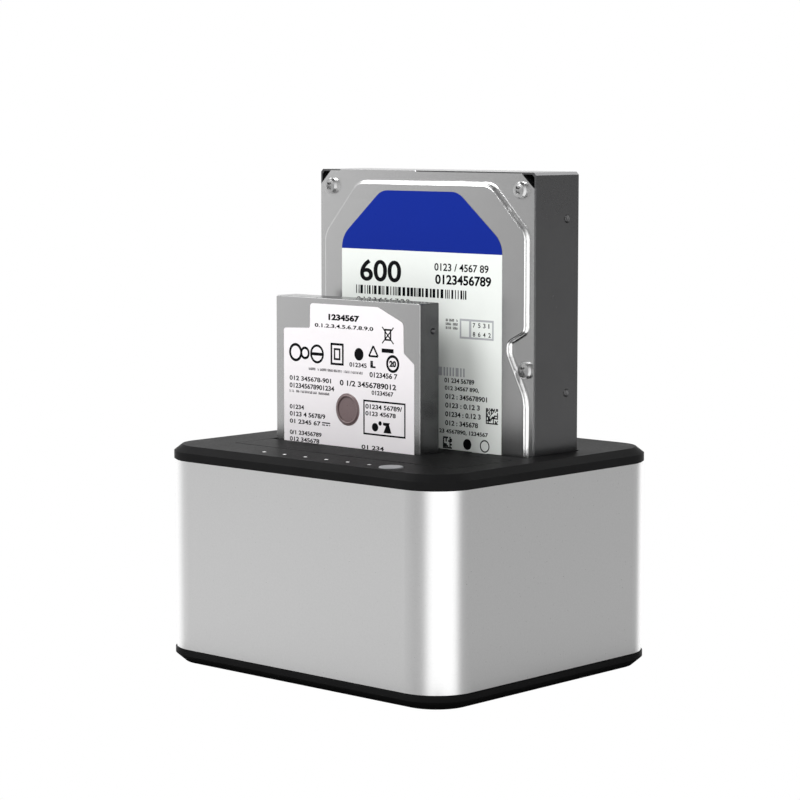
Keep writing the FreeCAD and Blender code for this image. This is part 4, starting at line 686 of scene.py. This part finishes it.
def rolled_cover(name, drawn_deep):
    material, tree, shader = new_finish(name, Metallic=1.0)
    place = split(tree, object_place(tree))
    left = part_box("small_drive_cover")[0].x
    right, _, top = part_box("large_drive_cover")[1]
    # Painted shade: the tone falls across to the right and down towards the deck.
    across = remap(tree, place["X"], left, right, COVER_SHADE_LEFT_TONE, COVER_SHADE_RIGHT_TONE)
    down = remap(tree, place["Z"], top - COVER_SHADE_FALL, top, COVER_SHADE_FOOT_SHARE, 1.0)
    painted_shade = calculate(tree, "MULTIPLY", across, down)
    lines = use(tree, LINES, Across=ROLLED_LINES)
    speckle = use(tree, GRAIN, Size=0.0005, Amount=1.0)
    patches = use(tree, PATCHES, Size=0.03, Contrast=1.5)
    tone = calculate(tree, "MULTIPLY_ADD", lines, 0.05, painted_shade)
    tone = calculate(tree, "MULTIPLY_ADD", patches, -0.02, tone)
    sheet = varying_grey(tree, tone)
    # Painted highlight: a lighter tone on the steep walls.
    if drawn_deep:
        slope = face_slope(tree)
        sideways = calculate(tree, "ABSOLUTE", slope["X"])
        steepest = calculate(tree, "MAXIMUM", sideways, calculate(tree, "ABSOLUTE", slope["Z"]))
        wall_highlight = remap(tree, steepest, WALL_HIGHLIGHT_FROM, WALL_HIGHLIGHT_FULL)
        sheet = blend_colours(tree, wall_highlight, sheet, grey(WALL_HIGHLIGHT_TONE))
    drive_socket(tree, shader, "Base Color", sheet)
    rough = calculate(tree, "MULTIPLY_ADD", lines, 0.05, COVER_ROUGHNESS)
    rough = calculate(tree, "MULTIPLY_ADD", speckle, 0.03, rough, clamp=True)
    drive_socket(tree, shader, "Roughness", rough)
    bump(tree, shader, lines, distance=0.000001, strength=0.2)
    return material


give("drive_cover_metal", rolled_cover, drawn_deep=False)
deep_cover = frame["nodes"]["large_drive_cover"]
deep_cover.data.materials[0] = rolled_cover("cover_metal_painted_highlight", drawn_deep=True)
print("deep-drawn cover:", deep_cover.name)

# %% [markdown]
# What follows is new geometry. Each new piece is a closed mesh that rides on a body of
# the frame. It has the finish of the part it belongs to, or an ink of its own.

# %% Helper for new pieces
def add_piece(name, shape, body, material):
    bmesh.ops.recalc_face_normals(shape, faces=shape.faces)
    mesh = bpy.data.meshes.new(name)
    shape.to_mesh(mesh)
    shape.free()
    mesh.materials.append(material)
    piece = bpy.data.objects.new(name, mesh)
    bpy.context.scene.collection.objects.link(piece)
    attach(piece, body)
    print(f"{name}: {len(mesh.polygons)} faces")


def material_of(node):
    return frame["nodes"][node].data.materials[0]


print("new pieces join", len(frame["nodes"]), "nodes")

# %% [markdown]
# The screw holes in a drive's two sides are tapped. The frame carries plain holes, so
# each is lined here with a thin closed sleeve. The sleeve's inner wall is a grid of
# rings whose radius swings once a turn and once a pitch, which makes a helix.

# %% Threads
TURN_STEPS = 24
RINGS_PER_PITCH = 6
SLEEVE_IN_WALL = 0.01 * MM
SLEEVE_BACK = 0.08 * MM
CREST_SHARE = 0.42      # height of the ridge as a share of the pitch


def add_ring(shape, mouth, inward, along, radii):
    ring = []
    for step, radius in enumerate(radii):
        angle = 2 * math.pi * step / TURN_STEPS
        spot = Vector((inward * along, radius * math.cos(angle), radius * math.sin(angle)))
        ring.append(shape.verts.new(mouth + spot))
    return ring


def add_sleeve(shape, mouth, inward, radius, depth, pitch):
    steps = round(depth / pitch * RINGS_PER_PITCH)
    rings = []
    for ring in range(steps + 1):
        along = SLEEVE_BACK + depth * ring / steps
        swings = [(along / pitch - inward * step / TURN_STEPS) % 1.0 for step in range(TURN_STEPS)]
        radii = [radius - pitch * CREST_SHARE * (1.0 - abs(2.0 * swing - 1.0)) for swing in swings]
        rings.append(add_ring(shape, mouth, inward, along, radii))
    for along in (SLEEVE_BACK + depth, SLEEVE_BACK):
        rings.append(add_ring(shape, mouth, inward, along, [radius + SLEEVE_IN_WALL] * TURN_STEPS))
    for first, second in zip(rings, rings[1:] + rings[:1]):
        for step in range(TURN_STEPS):
            after = (step + 1) % TURN_STEPS
            shape.faces.new((first[step], first[after], second[after], second[step]))


def line_holes(body, from_back, heights, radius, depth, pitch):
    """Lines the holes of both sides; places and sizes are in millimetres."""
    casting = body + "_casting"
    low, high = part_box(casting)
    shape = bmesh.new()
    for wall, inward in ((low.x, 1), (high.x, -1)):
        for height in heights:
            mouth = Vector((wall, high.y - from_back * MM, low.z + height * MM))
            add_sleeve(shape, mouth, inward, radius * MM, depth * MM, pitch * MM)
    add_piece(body + "_threads", shape, body, material_of(casting))


line_holes(
    "large_drive",
    from_back=6.35, heights=(28.5, 70.1, 130.1), radius=1.6, depth=4.7, pitch=0.79,
)
line_holes(
    "small_drive",
    from_back=3.0, heights=(14.0, 90.6), radius=1.25, depth=3.2, pitch=0.5,
)

# %% [markdown]
# Labels are printed film. Film is smoother than paper and follows the sheet below it,
# so it has a satin shine with slow ripples, and a very slight mottle in the ink. The
# seal over the small drive's hub is the same film on foil, with a stronger mottle.

# %% Label films
def label_film(name, colour, roughness, mottle=0.04, specular=0.3):
    material, tree, shader = new_finish(name, Specular_IOR_Level=specular)
    speckle = use(tree, GRAIN, Size=0.0006, Amount=1.0)
    ripples = use(tree, PATCHES, Size=0.012, Contrast=1.5)
    tone = blend_colours(tree, ripples, tint(colour), tint(colour, 1.0 - mottle))
    drive_socket(tree, shader, "Base Color", tone)
    rough = calculate(tree, "MULTIPLY_ADD", speckle, 0.08, roughness)
    drive_socket(tree, shader, "Roughness", rough)
    bump(tree, shader, ripples, distance=0.00004, strength=0.3)
    return material


give("label_blue", label_film, (0.006, 0.022, 0.25), 0.30, specular=0.05)
give("label_white", label_film, (0.80, 0.83, 0.80), 0.38)
give("label_pearl", label_film, (0.83, 0.80, 0.82), 0.38)
give("seal_bronze", label_film, (0.17, 0.118, 0.12), 0.30, mottle=0.2, specular=0.6)

# %% [markdown]
# The hub seal is pressed with a round bead near its edge. The bead is a half round,
# swept about the hub's axis and sunk a little in the seal. The last side of its section
# is the flat underside, so only the sides before it are shaded smooth.

# %% Bead on the hub seal
BEAD_RADIUS = 0.84      # of the seal's own radius
BEAD_HALF_WIDTH = 0.45 * MM
BEAD_RISE = 0.30 * MM
BEAD_STEPS = 48
BEAD_SECTION = [        # out from the middle in half widths, and up in rises
    (-1.0, -0.5), (-0.7, 0.55), (-0.3, 0.95), (0.3, 0.95), (0.7, 0.55), (1.0, -0.5),
]


def seal_bead():
    low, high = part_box("small_drive_hub_seal")
    centre = (low + high) / 2
    radius = (high.x - low.x) / 2 * BEAD_RADIUS
    shape = bmesh.new()
    rings = []
    for step in range(BEAD_STEPS):
        angle = 2 * math.pi * step / BEAD_STEPS
        ring = []
        for out, rise in BEAD_SECTION:
            reach = radius + out * BEAD_HALF_WIDTH
            across, up = reach * math.cos(angle), reach * math.sin(angle)
            spot = (centre.x + across, low.y - rise * BEAD_RISE, centre.z + up)
            ring.append(shape.verts.new(spot))
        rings.append(ring)
    underside = len(BEAD_SECTION) - 1
    for first, second in zip(rings, rings[1:] + rings[:1]):
        for side in range(len(BEAD_SECTION)):
            after = (side + 1) % len(BEAD_SECTION)
            face = shape.faces.new((first[side], first[after], second[after], second[side]))
            face.smooth = side < underside
    seal = material_of("small_drive_hub_seal")
    add_piece("small_drive_seal_bead", shape, "small_drive", seal)
    print("bead of radius", round(radius / MM, 2), "mm")


seal_bead()

# %% Inks
INK = label_film("label_ink", (0.004, 0.004, 0.005), 0.45, specular=0.04)
PALE_INK = label_film("label_pale_mark", (0.42, 0.43, 0.45), 0.40)
print("inks:", INK.name, PALE_INK.name)

# %% [markdown]
# The printing on the labels is ink a few hundredths of a millimetre thick. The frame
# leaves it out, so it is made here, as thin closed prisms that stand just proud of each
# label. Everything printed is generic: plain figures, most of them a simple count, and
# bars, rings, boxes and dashes in the places where such labels carry their text.
# A place on a label is given as u, millimetres in from the drive's left edge, and v,
# millimetres down from its top edge.

# %% Printing: where the ink lies, and its plain shapes
INK_RISE = 0.020 * MM
INK_SINK = 0.010 * MM
CURVE_STEPS = 6         # points to a curved stretch of a numeral


class Print:
    """Collects thin prisms on one label and turns them into one piece."""

    def __init__(self, body, label):
        low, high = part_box(body + "_casting")
        self.body = body
        self.left = low.x
        self.top = high.z
        self.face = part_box(label)[0].y
        self.shape = bmesh.new()

    def point(self, u, v, front):
        y = self.face - INK_RISE if front else self.face + INK_SINK
        return (self.left + u * MM, y, self.top - v * MM)

    def prism(self, outline):
        fronts = [self.shape.verts.new(self.point(u, v, True)) for u, v in outline]
        backs = [self.shape.verts.new(self.point(u, v, False)) for u, v in outline]
        self.shape.faces.new(fronts)
        self.shape.faces.new(backs[::-1])
        for i in range(len(outline)):
            j = (i + 1) % len(outline)
            self.shape.faces.new((fronts[j], fronts[i], backs[i], backs[j]))

    def bar(self, u0, u1, v0, v1):
        self.prism([(u0, v0), (u0, v1), (u1, v1), (u1, v0)])

    def frame(self, u0, u1, v0, v1, line):
        self.bar(u0, u1, v0, v0 + line)
        self.bar(u0, u1, v1 - line, v1)
        self.bar(u0, u0 + line, v0 + line, v1 - line)
        self.bar(u1 - line, u1, v0 + line, v1 - line)

    def stroke(self, start, end, line):
        start, end = Vector(start), Vector(end)
        run = end - start
        side = Vector((-run.y, run.x)).normalized() * line / 2
        self.prism([tuple(c) for c in (start + side, start - side, end - side, end + side)])

    def ring(self, u, v, radius, line, steps=28):
        angles = [2 * math.pi * i / steps for i in range(steps + 1)]
        inner, outer = (
            [(u + reach * math.cos(a), v + reach * math.sin(a)) for a in angles]
            for reach in (radius - line, radius)
        )
        for i in range(steps):
            self.prism([inner[i], inner[i + 1], outer[i + 1], outer[i]])

    def disc(self, u, v, radius, steps=24):
        turns = [2 * math.pi * i / steps for i in range(steps)]
        self.prism([(u + radius * math.cos(a), v - radius * math.sin(a)) for a in turns])

    def figures(self, text, u0, u1, v0, v1, weight=0.026):
        """Sets plain numerals so that they fill the box from u0 to u1 and v0 to v1."""
        curve = bpy.data.curves.new("numerals", "FONT")
        curve.body = text
        curve.resolution_u = CURVE_STEPS
        curve.offset = weight
        curve.extrude = 1.0
        holder = bpy.data.objects.new("numerals", curve)
        mesh = bpy.data.meshes.new_from_object(holder)
        xs = [vertex.co.x for vertex in mesh.vertices]
        ys = [vertex.co.y for vertex in mesh.vertices]
        wide, high = max(xs) - min(xs), max(ys) - min(ys)
        for vertex in mesh.vertices:
            u = u0 + (vertex.co.x - min(xs)) / wide * (u1 - u0)
            v = v1 + (vertex.co.y - min(ys)) / high * (v0 - v1)
            vertex.co = self.point(u, v, vertex.co.z > 0)
        self.shape.from_mesh(mesh)
        bpy.data.meshes.remove(mesh)
        bpy.data.objects.remove(holder)
        bpy.data.curves.remove(curve)

    def finish(self, name, material):
        add_piece(name, self.shape, self.body, material)


print("ink stands", INK_RISE / MM, "mm proud of a label")

# %% [markdown]
# Three kinds of print are drawn by chance: lines of words too fine to read, bar codes
# and checkered squares. Each call brings its own seed, so every run gives the same
# print. The shares below are of the height of a line of words, unless they say more.

# %% Printing by chance
WORD_STEP = 0.62        # from one fine letter to the next
WORD_LINE = 0.20        # width of its upright
WORD_GAP_CHANCE = 0.16
SECOND_UPRIGHT_CHANCE = 0.7
SECOND_PLACE = 0.55     # of the step
SECOND_LINE = 0.8       # of the first upright's width
SECOND_TOPS = (0, 0.4)  # how far below the line's top it may start
CROSSBAR_CHANCE = 0.6
CROSSBAR_PLACES = (0, 0.5, 1)
BAR_WIDTHS = (1, 1, 2, 3)       # in narrowest bars, as are the gaps
BAR_GAPS = (1, 1, 2)
CHECK_CHANCE = 0.5
CHECK_FILL = 0.96       # width of a check, as a share of its cell


def print_words(label, u0, u1, v0, v1, seed):
    chance = random.Random(seed)
    high = v1 - v0
    step = high * WORD_STEP
    line = high * WORD_LINE
    u = u0
    while u + step < u1:
        if chance.random() >= WORD_GAP_CHANCE:
            second = u + step * SECOND_PLACE
            label.bar(u, u + line, v0, v1)
            if chance.random() < SECOND_UPRIGHT_CHANCE:
                top = v0 + high * chance.choice(SECOND_TOPS)
                label.bar(second, second + line * SECOND_LINE, top, v1)
            if chance.random() < CROSSBAR_CHANCE:
                place = v0 + (high - line) * chance.choice(CROSSBAR_PLACES)
                label.bar(u + line, second, place, place + line)
        u += step


def print_paragraph(label, u0, rights, top, high, pitch, count, seed):
    """Lines of fine words, whose right ends take the given places in turn."""
    for line in range(count):
        v = top + pitch * line
        print_words(label, u0, rights[line % len(rights)], v, v + high, seed + line)


def print_bars(label, u0, u1, v0, v1, seed, narrow=0.33):
    chance = random.Random(seed)
    u = u0
    while u < u1:
        wide = narrow * chance.choice(BAR_WIDTHS)
        label.bar(u, min(u + wide, u1), v0, v1)
        u += wide + narrow * chance.choice(BAR_GAPS)


def print_checks(label, u0, v0, cell, count, seed):
    chance = random.Random(seed)
    for row in range(count):
        for column in range(count):
            if column == 0 or row == count - 1 or chance.random() < CHECK_CHANCE:
                u, v = u0 + column * cell, v0 + row * cell
                label.bar(u, u + cell * CHECK_FILL, v, v + cell * CHECK_FILL)


print("chance prints ready")

# %% [markdown]
# The large drive's label has a blue head and a white body. The body carries a large
# round number, two lines at its right, a bar code across, and lower down a small
# diagram of eight numbered pins and the ratings.

# %% Large drive: figures and bars
head = Print("large_drive", "large_drive_label_body")
head.figures("600", 22.0, 42.0, 31.8, 39.6, weight=0.02)
head.figures("0123 / 4567 89", 57.8, 82.8, 32.0, 34.7, weight=0.018)
head.figures("0123456789", 58.2, 84.0, 35.9, 39.4, weight=0.03)
print_bars(head, 20.0, 72.7, 41.1, 44.2, seed=3, narrow=0.42)
head.figures("0 1 2 3 4 5 6 7 8 9", 20.5, 46.0, 45.3, 46.5)
head.finish("large_drive_print_head", INK)

# %% Large drive: pin diagram
PIN_ROWS = [(52.1, "7531"), (55.2, "8642")]
PIN_COLUMNS = [75.7, 78.1, 80.4, 82.8]
PIN_WIDE, PIN_ONE_WIDE, PIN_HIGH = 1.1, 0.45, 1.6
pins = Print("large_drive", "large_drive_label_body")
for row, numbers in PIN_ROWS:
    for column, number in zip(PIN_COLUMNS, numbers):
        wide = PIN_ONE_WIDE if number == "1" else PIN_WIDE
        pins.figures(number, column, column + wide, row, row + PIN_HIGH, weight=0.015)
print_paragraph(pins, 63.2, (68.8,), top=51.2, high=0.9, pitch=1.35, count=3, seed=20)
pins.finish("large_drive_print_pins", INK)
pin_box = Print("large_drive", "large_drive_label_body")
pin_box.frame(69.7, 85.2, 50.9, 57.8, 0.7)
pin_box.bar(74.0, 75.0, 51.6, 57.1)
print_bars(pin_box, 30.0, 72.3, 68.2, 71.2, seed=5, narrow=0.7)
pin_box.finish("large_drive_print_pin_box", PALE_INK)

# %% Large drive: ratings
ratings = Print("large_drive", "large_drive_label_body")
ratings.figures("01 234 56789", 62.6, 76.4, 71.9, 73.6)
ratings.figures("012 34567 890,", 62.8, 78.6, 74.7, 76.4)
ratings.figures("012 : 345678901", 63.0, 82.3, 77.5, 79.3)
ratings.figures("0123 : 0.12 3", 63.0, 79.0, 80.6, 82.4)
ratings.figures("01234 : 0.12 3", 63.0, 79.4, 83.7, 85.5)
ratings.figures("012 : 345678", 63.0, 78.2, 86.8, 88.6)
ratings.figures("0123 4567890, 1234567", 57.6, 82.8, 89.9, 91.6)
print_checks(ratings, 81.8, 81.2, 0.46, 12, seed=8)
print_checks(ratings, 62.0, 92.6, 0.60, 7, seed=9)
ratings.disc(73.3, 94.6, 1.9)
ratings.ring(81.3, 94.6, 2.2, 0.45)
print_paragraph(
    ratings, 16.0, (52.0, 49.0, 46.0), top=49.0, high=1.3, pitch=2.1, count=9, seed=40,
)
print_paragraph(ratings, 16.0, (46.0, 48.0), top=74.0, high=1.6, pitch=2.6, count=5, seed=60)
ratings.frame(16.0, 52.0, 89.0, 104.0, 0.35)
print_bars(ratings, 18.0, 50.0, 91.0, 97.0, seed=6)
print_words(ratings, 18.0, 50.0, 98.6, 100.2, seed=71)
print_words(ratings, 18.0, 44.0, 101.0, 102.6, seed=72)
print_words(ratings, 57.0, 84.0, 99.5, 101.1, seed=73)
print_words(ratings, 57.0, 80.0, 102.2, 103.8, seed=74)
ratings.figures("0 1 2 3 4 5 6 7 8 9", 16.0, 60.0, 109.0, 111.6)
ratings.finish("large_drive_print_ratings", INK)

# %% [markdown]
# The small drive's label is fuller. A row of plain rings, squares and a triangle stands
# where such labels carry their row of marks, and a boxed note sits at the lower right.

# %% Small drive: heading and row of marks
marks = Print("small_drive", "small_drive_label")
marks.figures("1234567", 26.3, 41.3, 5.4, 7.7, weight=0.05)
marks.figures("0.1.2.3.4.5.6.7.8.9.0", 19.5, 48.0, 9.0, 10.4)
marks.stroke((52.2, 8.7), (57.6, 14.4), 0.45)
marks.stroke((57.6, 8.7), (52.2, 14.4), 0.45)
marks.frame(53.3, 56.5, 9.3, 13.4, 0.60)
marks.bar(52.0, 57.6, 16.2, 17.6)
marks.ring(9.9, 20.0, 3.3, 1.0)
marks.ring(14.6, 20.0, 2.3, 0.9)
marks.ring(20.6, 20.0, 3.4, 0.85)
marks.bar(17.6, 23.6, 19.5, 20.6)
marks.frame(27.3, 33.7, 15.6, 23.4, 0.8)
marks.frame(28.9, 32.1, 17.4, 21.6, 0.7)
marks.disc(41.1, 18.9, 2.2)
marks.figures("012345", 36.5, 44.8, 21.9, 23.5)
TRIANGLE = [(48.0, 15.6), (45.9, 19.2), (50.2, 19.2)]
for start, end in zip(TRIANGLE, TRIANGLE[1:] + TRIANGLE[:1]):
    marks.stroke(start, end, 0.7)
print_checks(marks, 46.6, 20.8, 0.62, 4, seed=11)
marks.ring(57.2, 21.3, 3.1, 0.95)
marks.figures("20", 55.6, 58.8, 20.2, 22.4, weight=0.06)
marks.finish("small_drive_print_marks", INK)

# %% Small drive: lines of figures
lines = Print("small_drive", "small_drive_label")
print_words(lines, 16.5, 45.0, 25.0, 25.9, seed=80)
lines.figures("0123456 7", 46.2, 59.4, 24.7, 26.6)
lines.figures("012 345678-901", 6.8, 27.5, 28.4, 30.1)
lines.figures("0 1/2 3456789012", 31.8, 58.8, 28.4, 30.4)
lines.figures("012345678901234", 6.8, 29.0, 31.0, 32.8)
lines.figures("01234567", 47.2, 57.5, 31.1, 32.7)
print_words(lines, 6.8, 27.2, 33.5, 34.4, seed=81)
lines.figures("01234", 6.8, 14.0, 38.8, 40.4)
lines.figures("0123 4 5678/9", 6.8, 24.6, 41.3, 43.0)
lines.figures("01 2345 67", 6.8, 22.2, 44.0, 45.6)
lines.bar(23.0, 27.0, 44.1, 44.5)
print_bars(lines, 23.0, 27.0, 44.9, 45.3, seed=12, narrow=0.5)
lines.figures("0/1 23456789", 6.8, 22.7, 48.0, 49.6)
lines.figures("012 345678", 6.8, 21.6, 50.4, 52.0)
lines.figures("01 234", 42.3, 53.0, 50.5, 52.0)
print_paragraph(lines, 6.8, (50.0, 46.0, 42.0), top=55.0, high=1.5, pitch=2.6, count=6, seed=90)
print_bars(lines, 6.8, 62.0, 73.0, 79.0, seed=13)
lines.figures("0 1 2 3 4 5 6 7 8 9", 6.8, 48.0, 80.4, 82.2)
print_checks(lines, 56.0, 57.0, 0.55, 14, seed=14)
lines.finish("small_drive_print_lines", INK)

# %% Small drive: boxed note
note = Print("small_drive", "small_drive_label")
note.frame(43.2, 63.2, 34.6, 46.8, 0.60)
note.figures("01234 56789/", 44.2, 61.6, 36.0, 37.7)
note.figures("0123 45678", 44.2, 58.6, 38.5, 40.1)
note.disc(48.8, 43.9, 1.5)
note.disc(51.2, 42.4, 0.8)
note.prism([
    (52.6, 42.0), (52.6, 42.9), (54.0, 43.2), (52.8, 45.6),
    (56.6, 45.6), (55.4, 42.6), (55.9, 42.0),
])
note.finish("small_drive_print_note", INK)
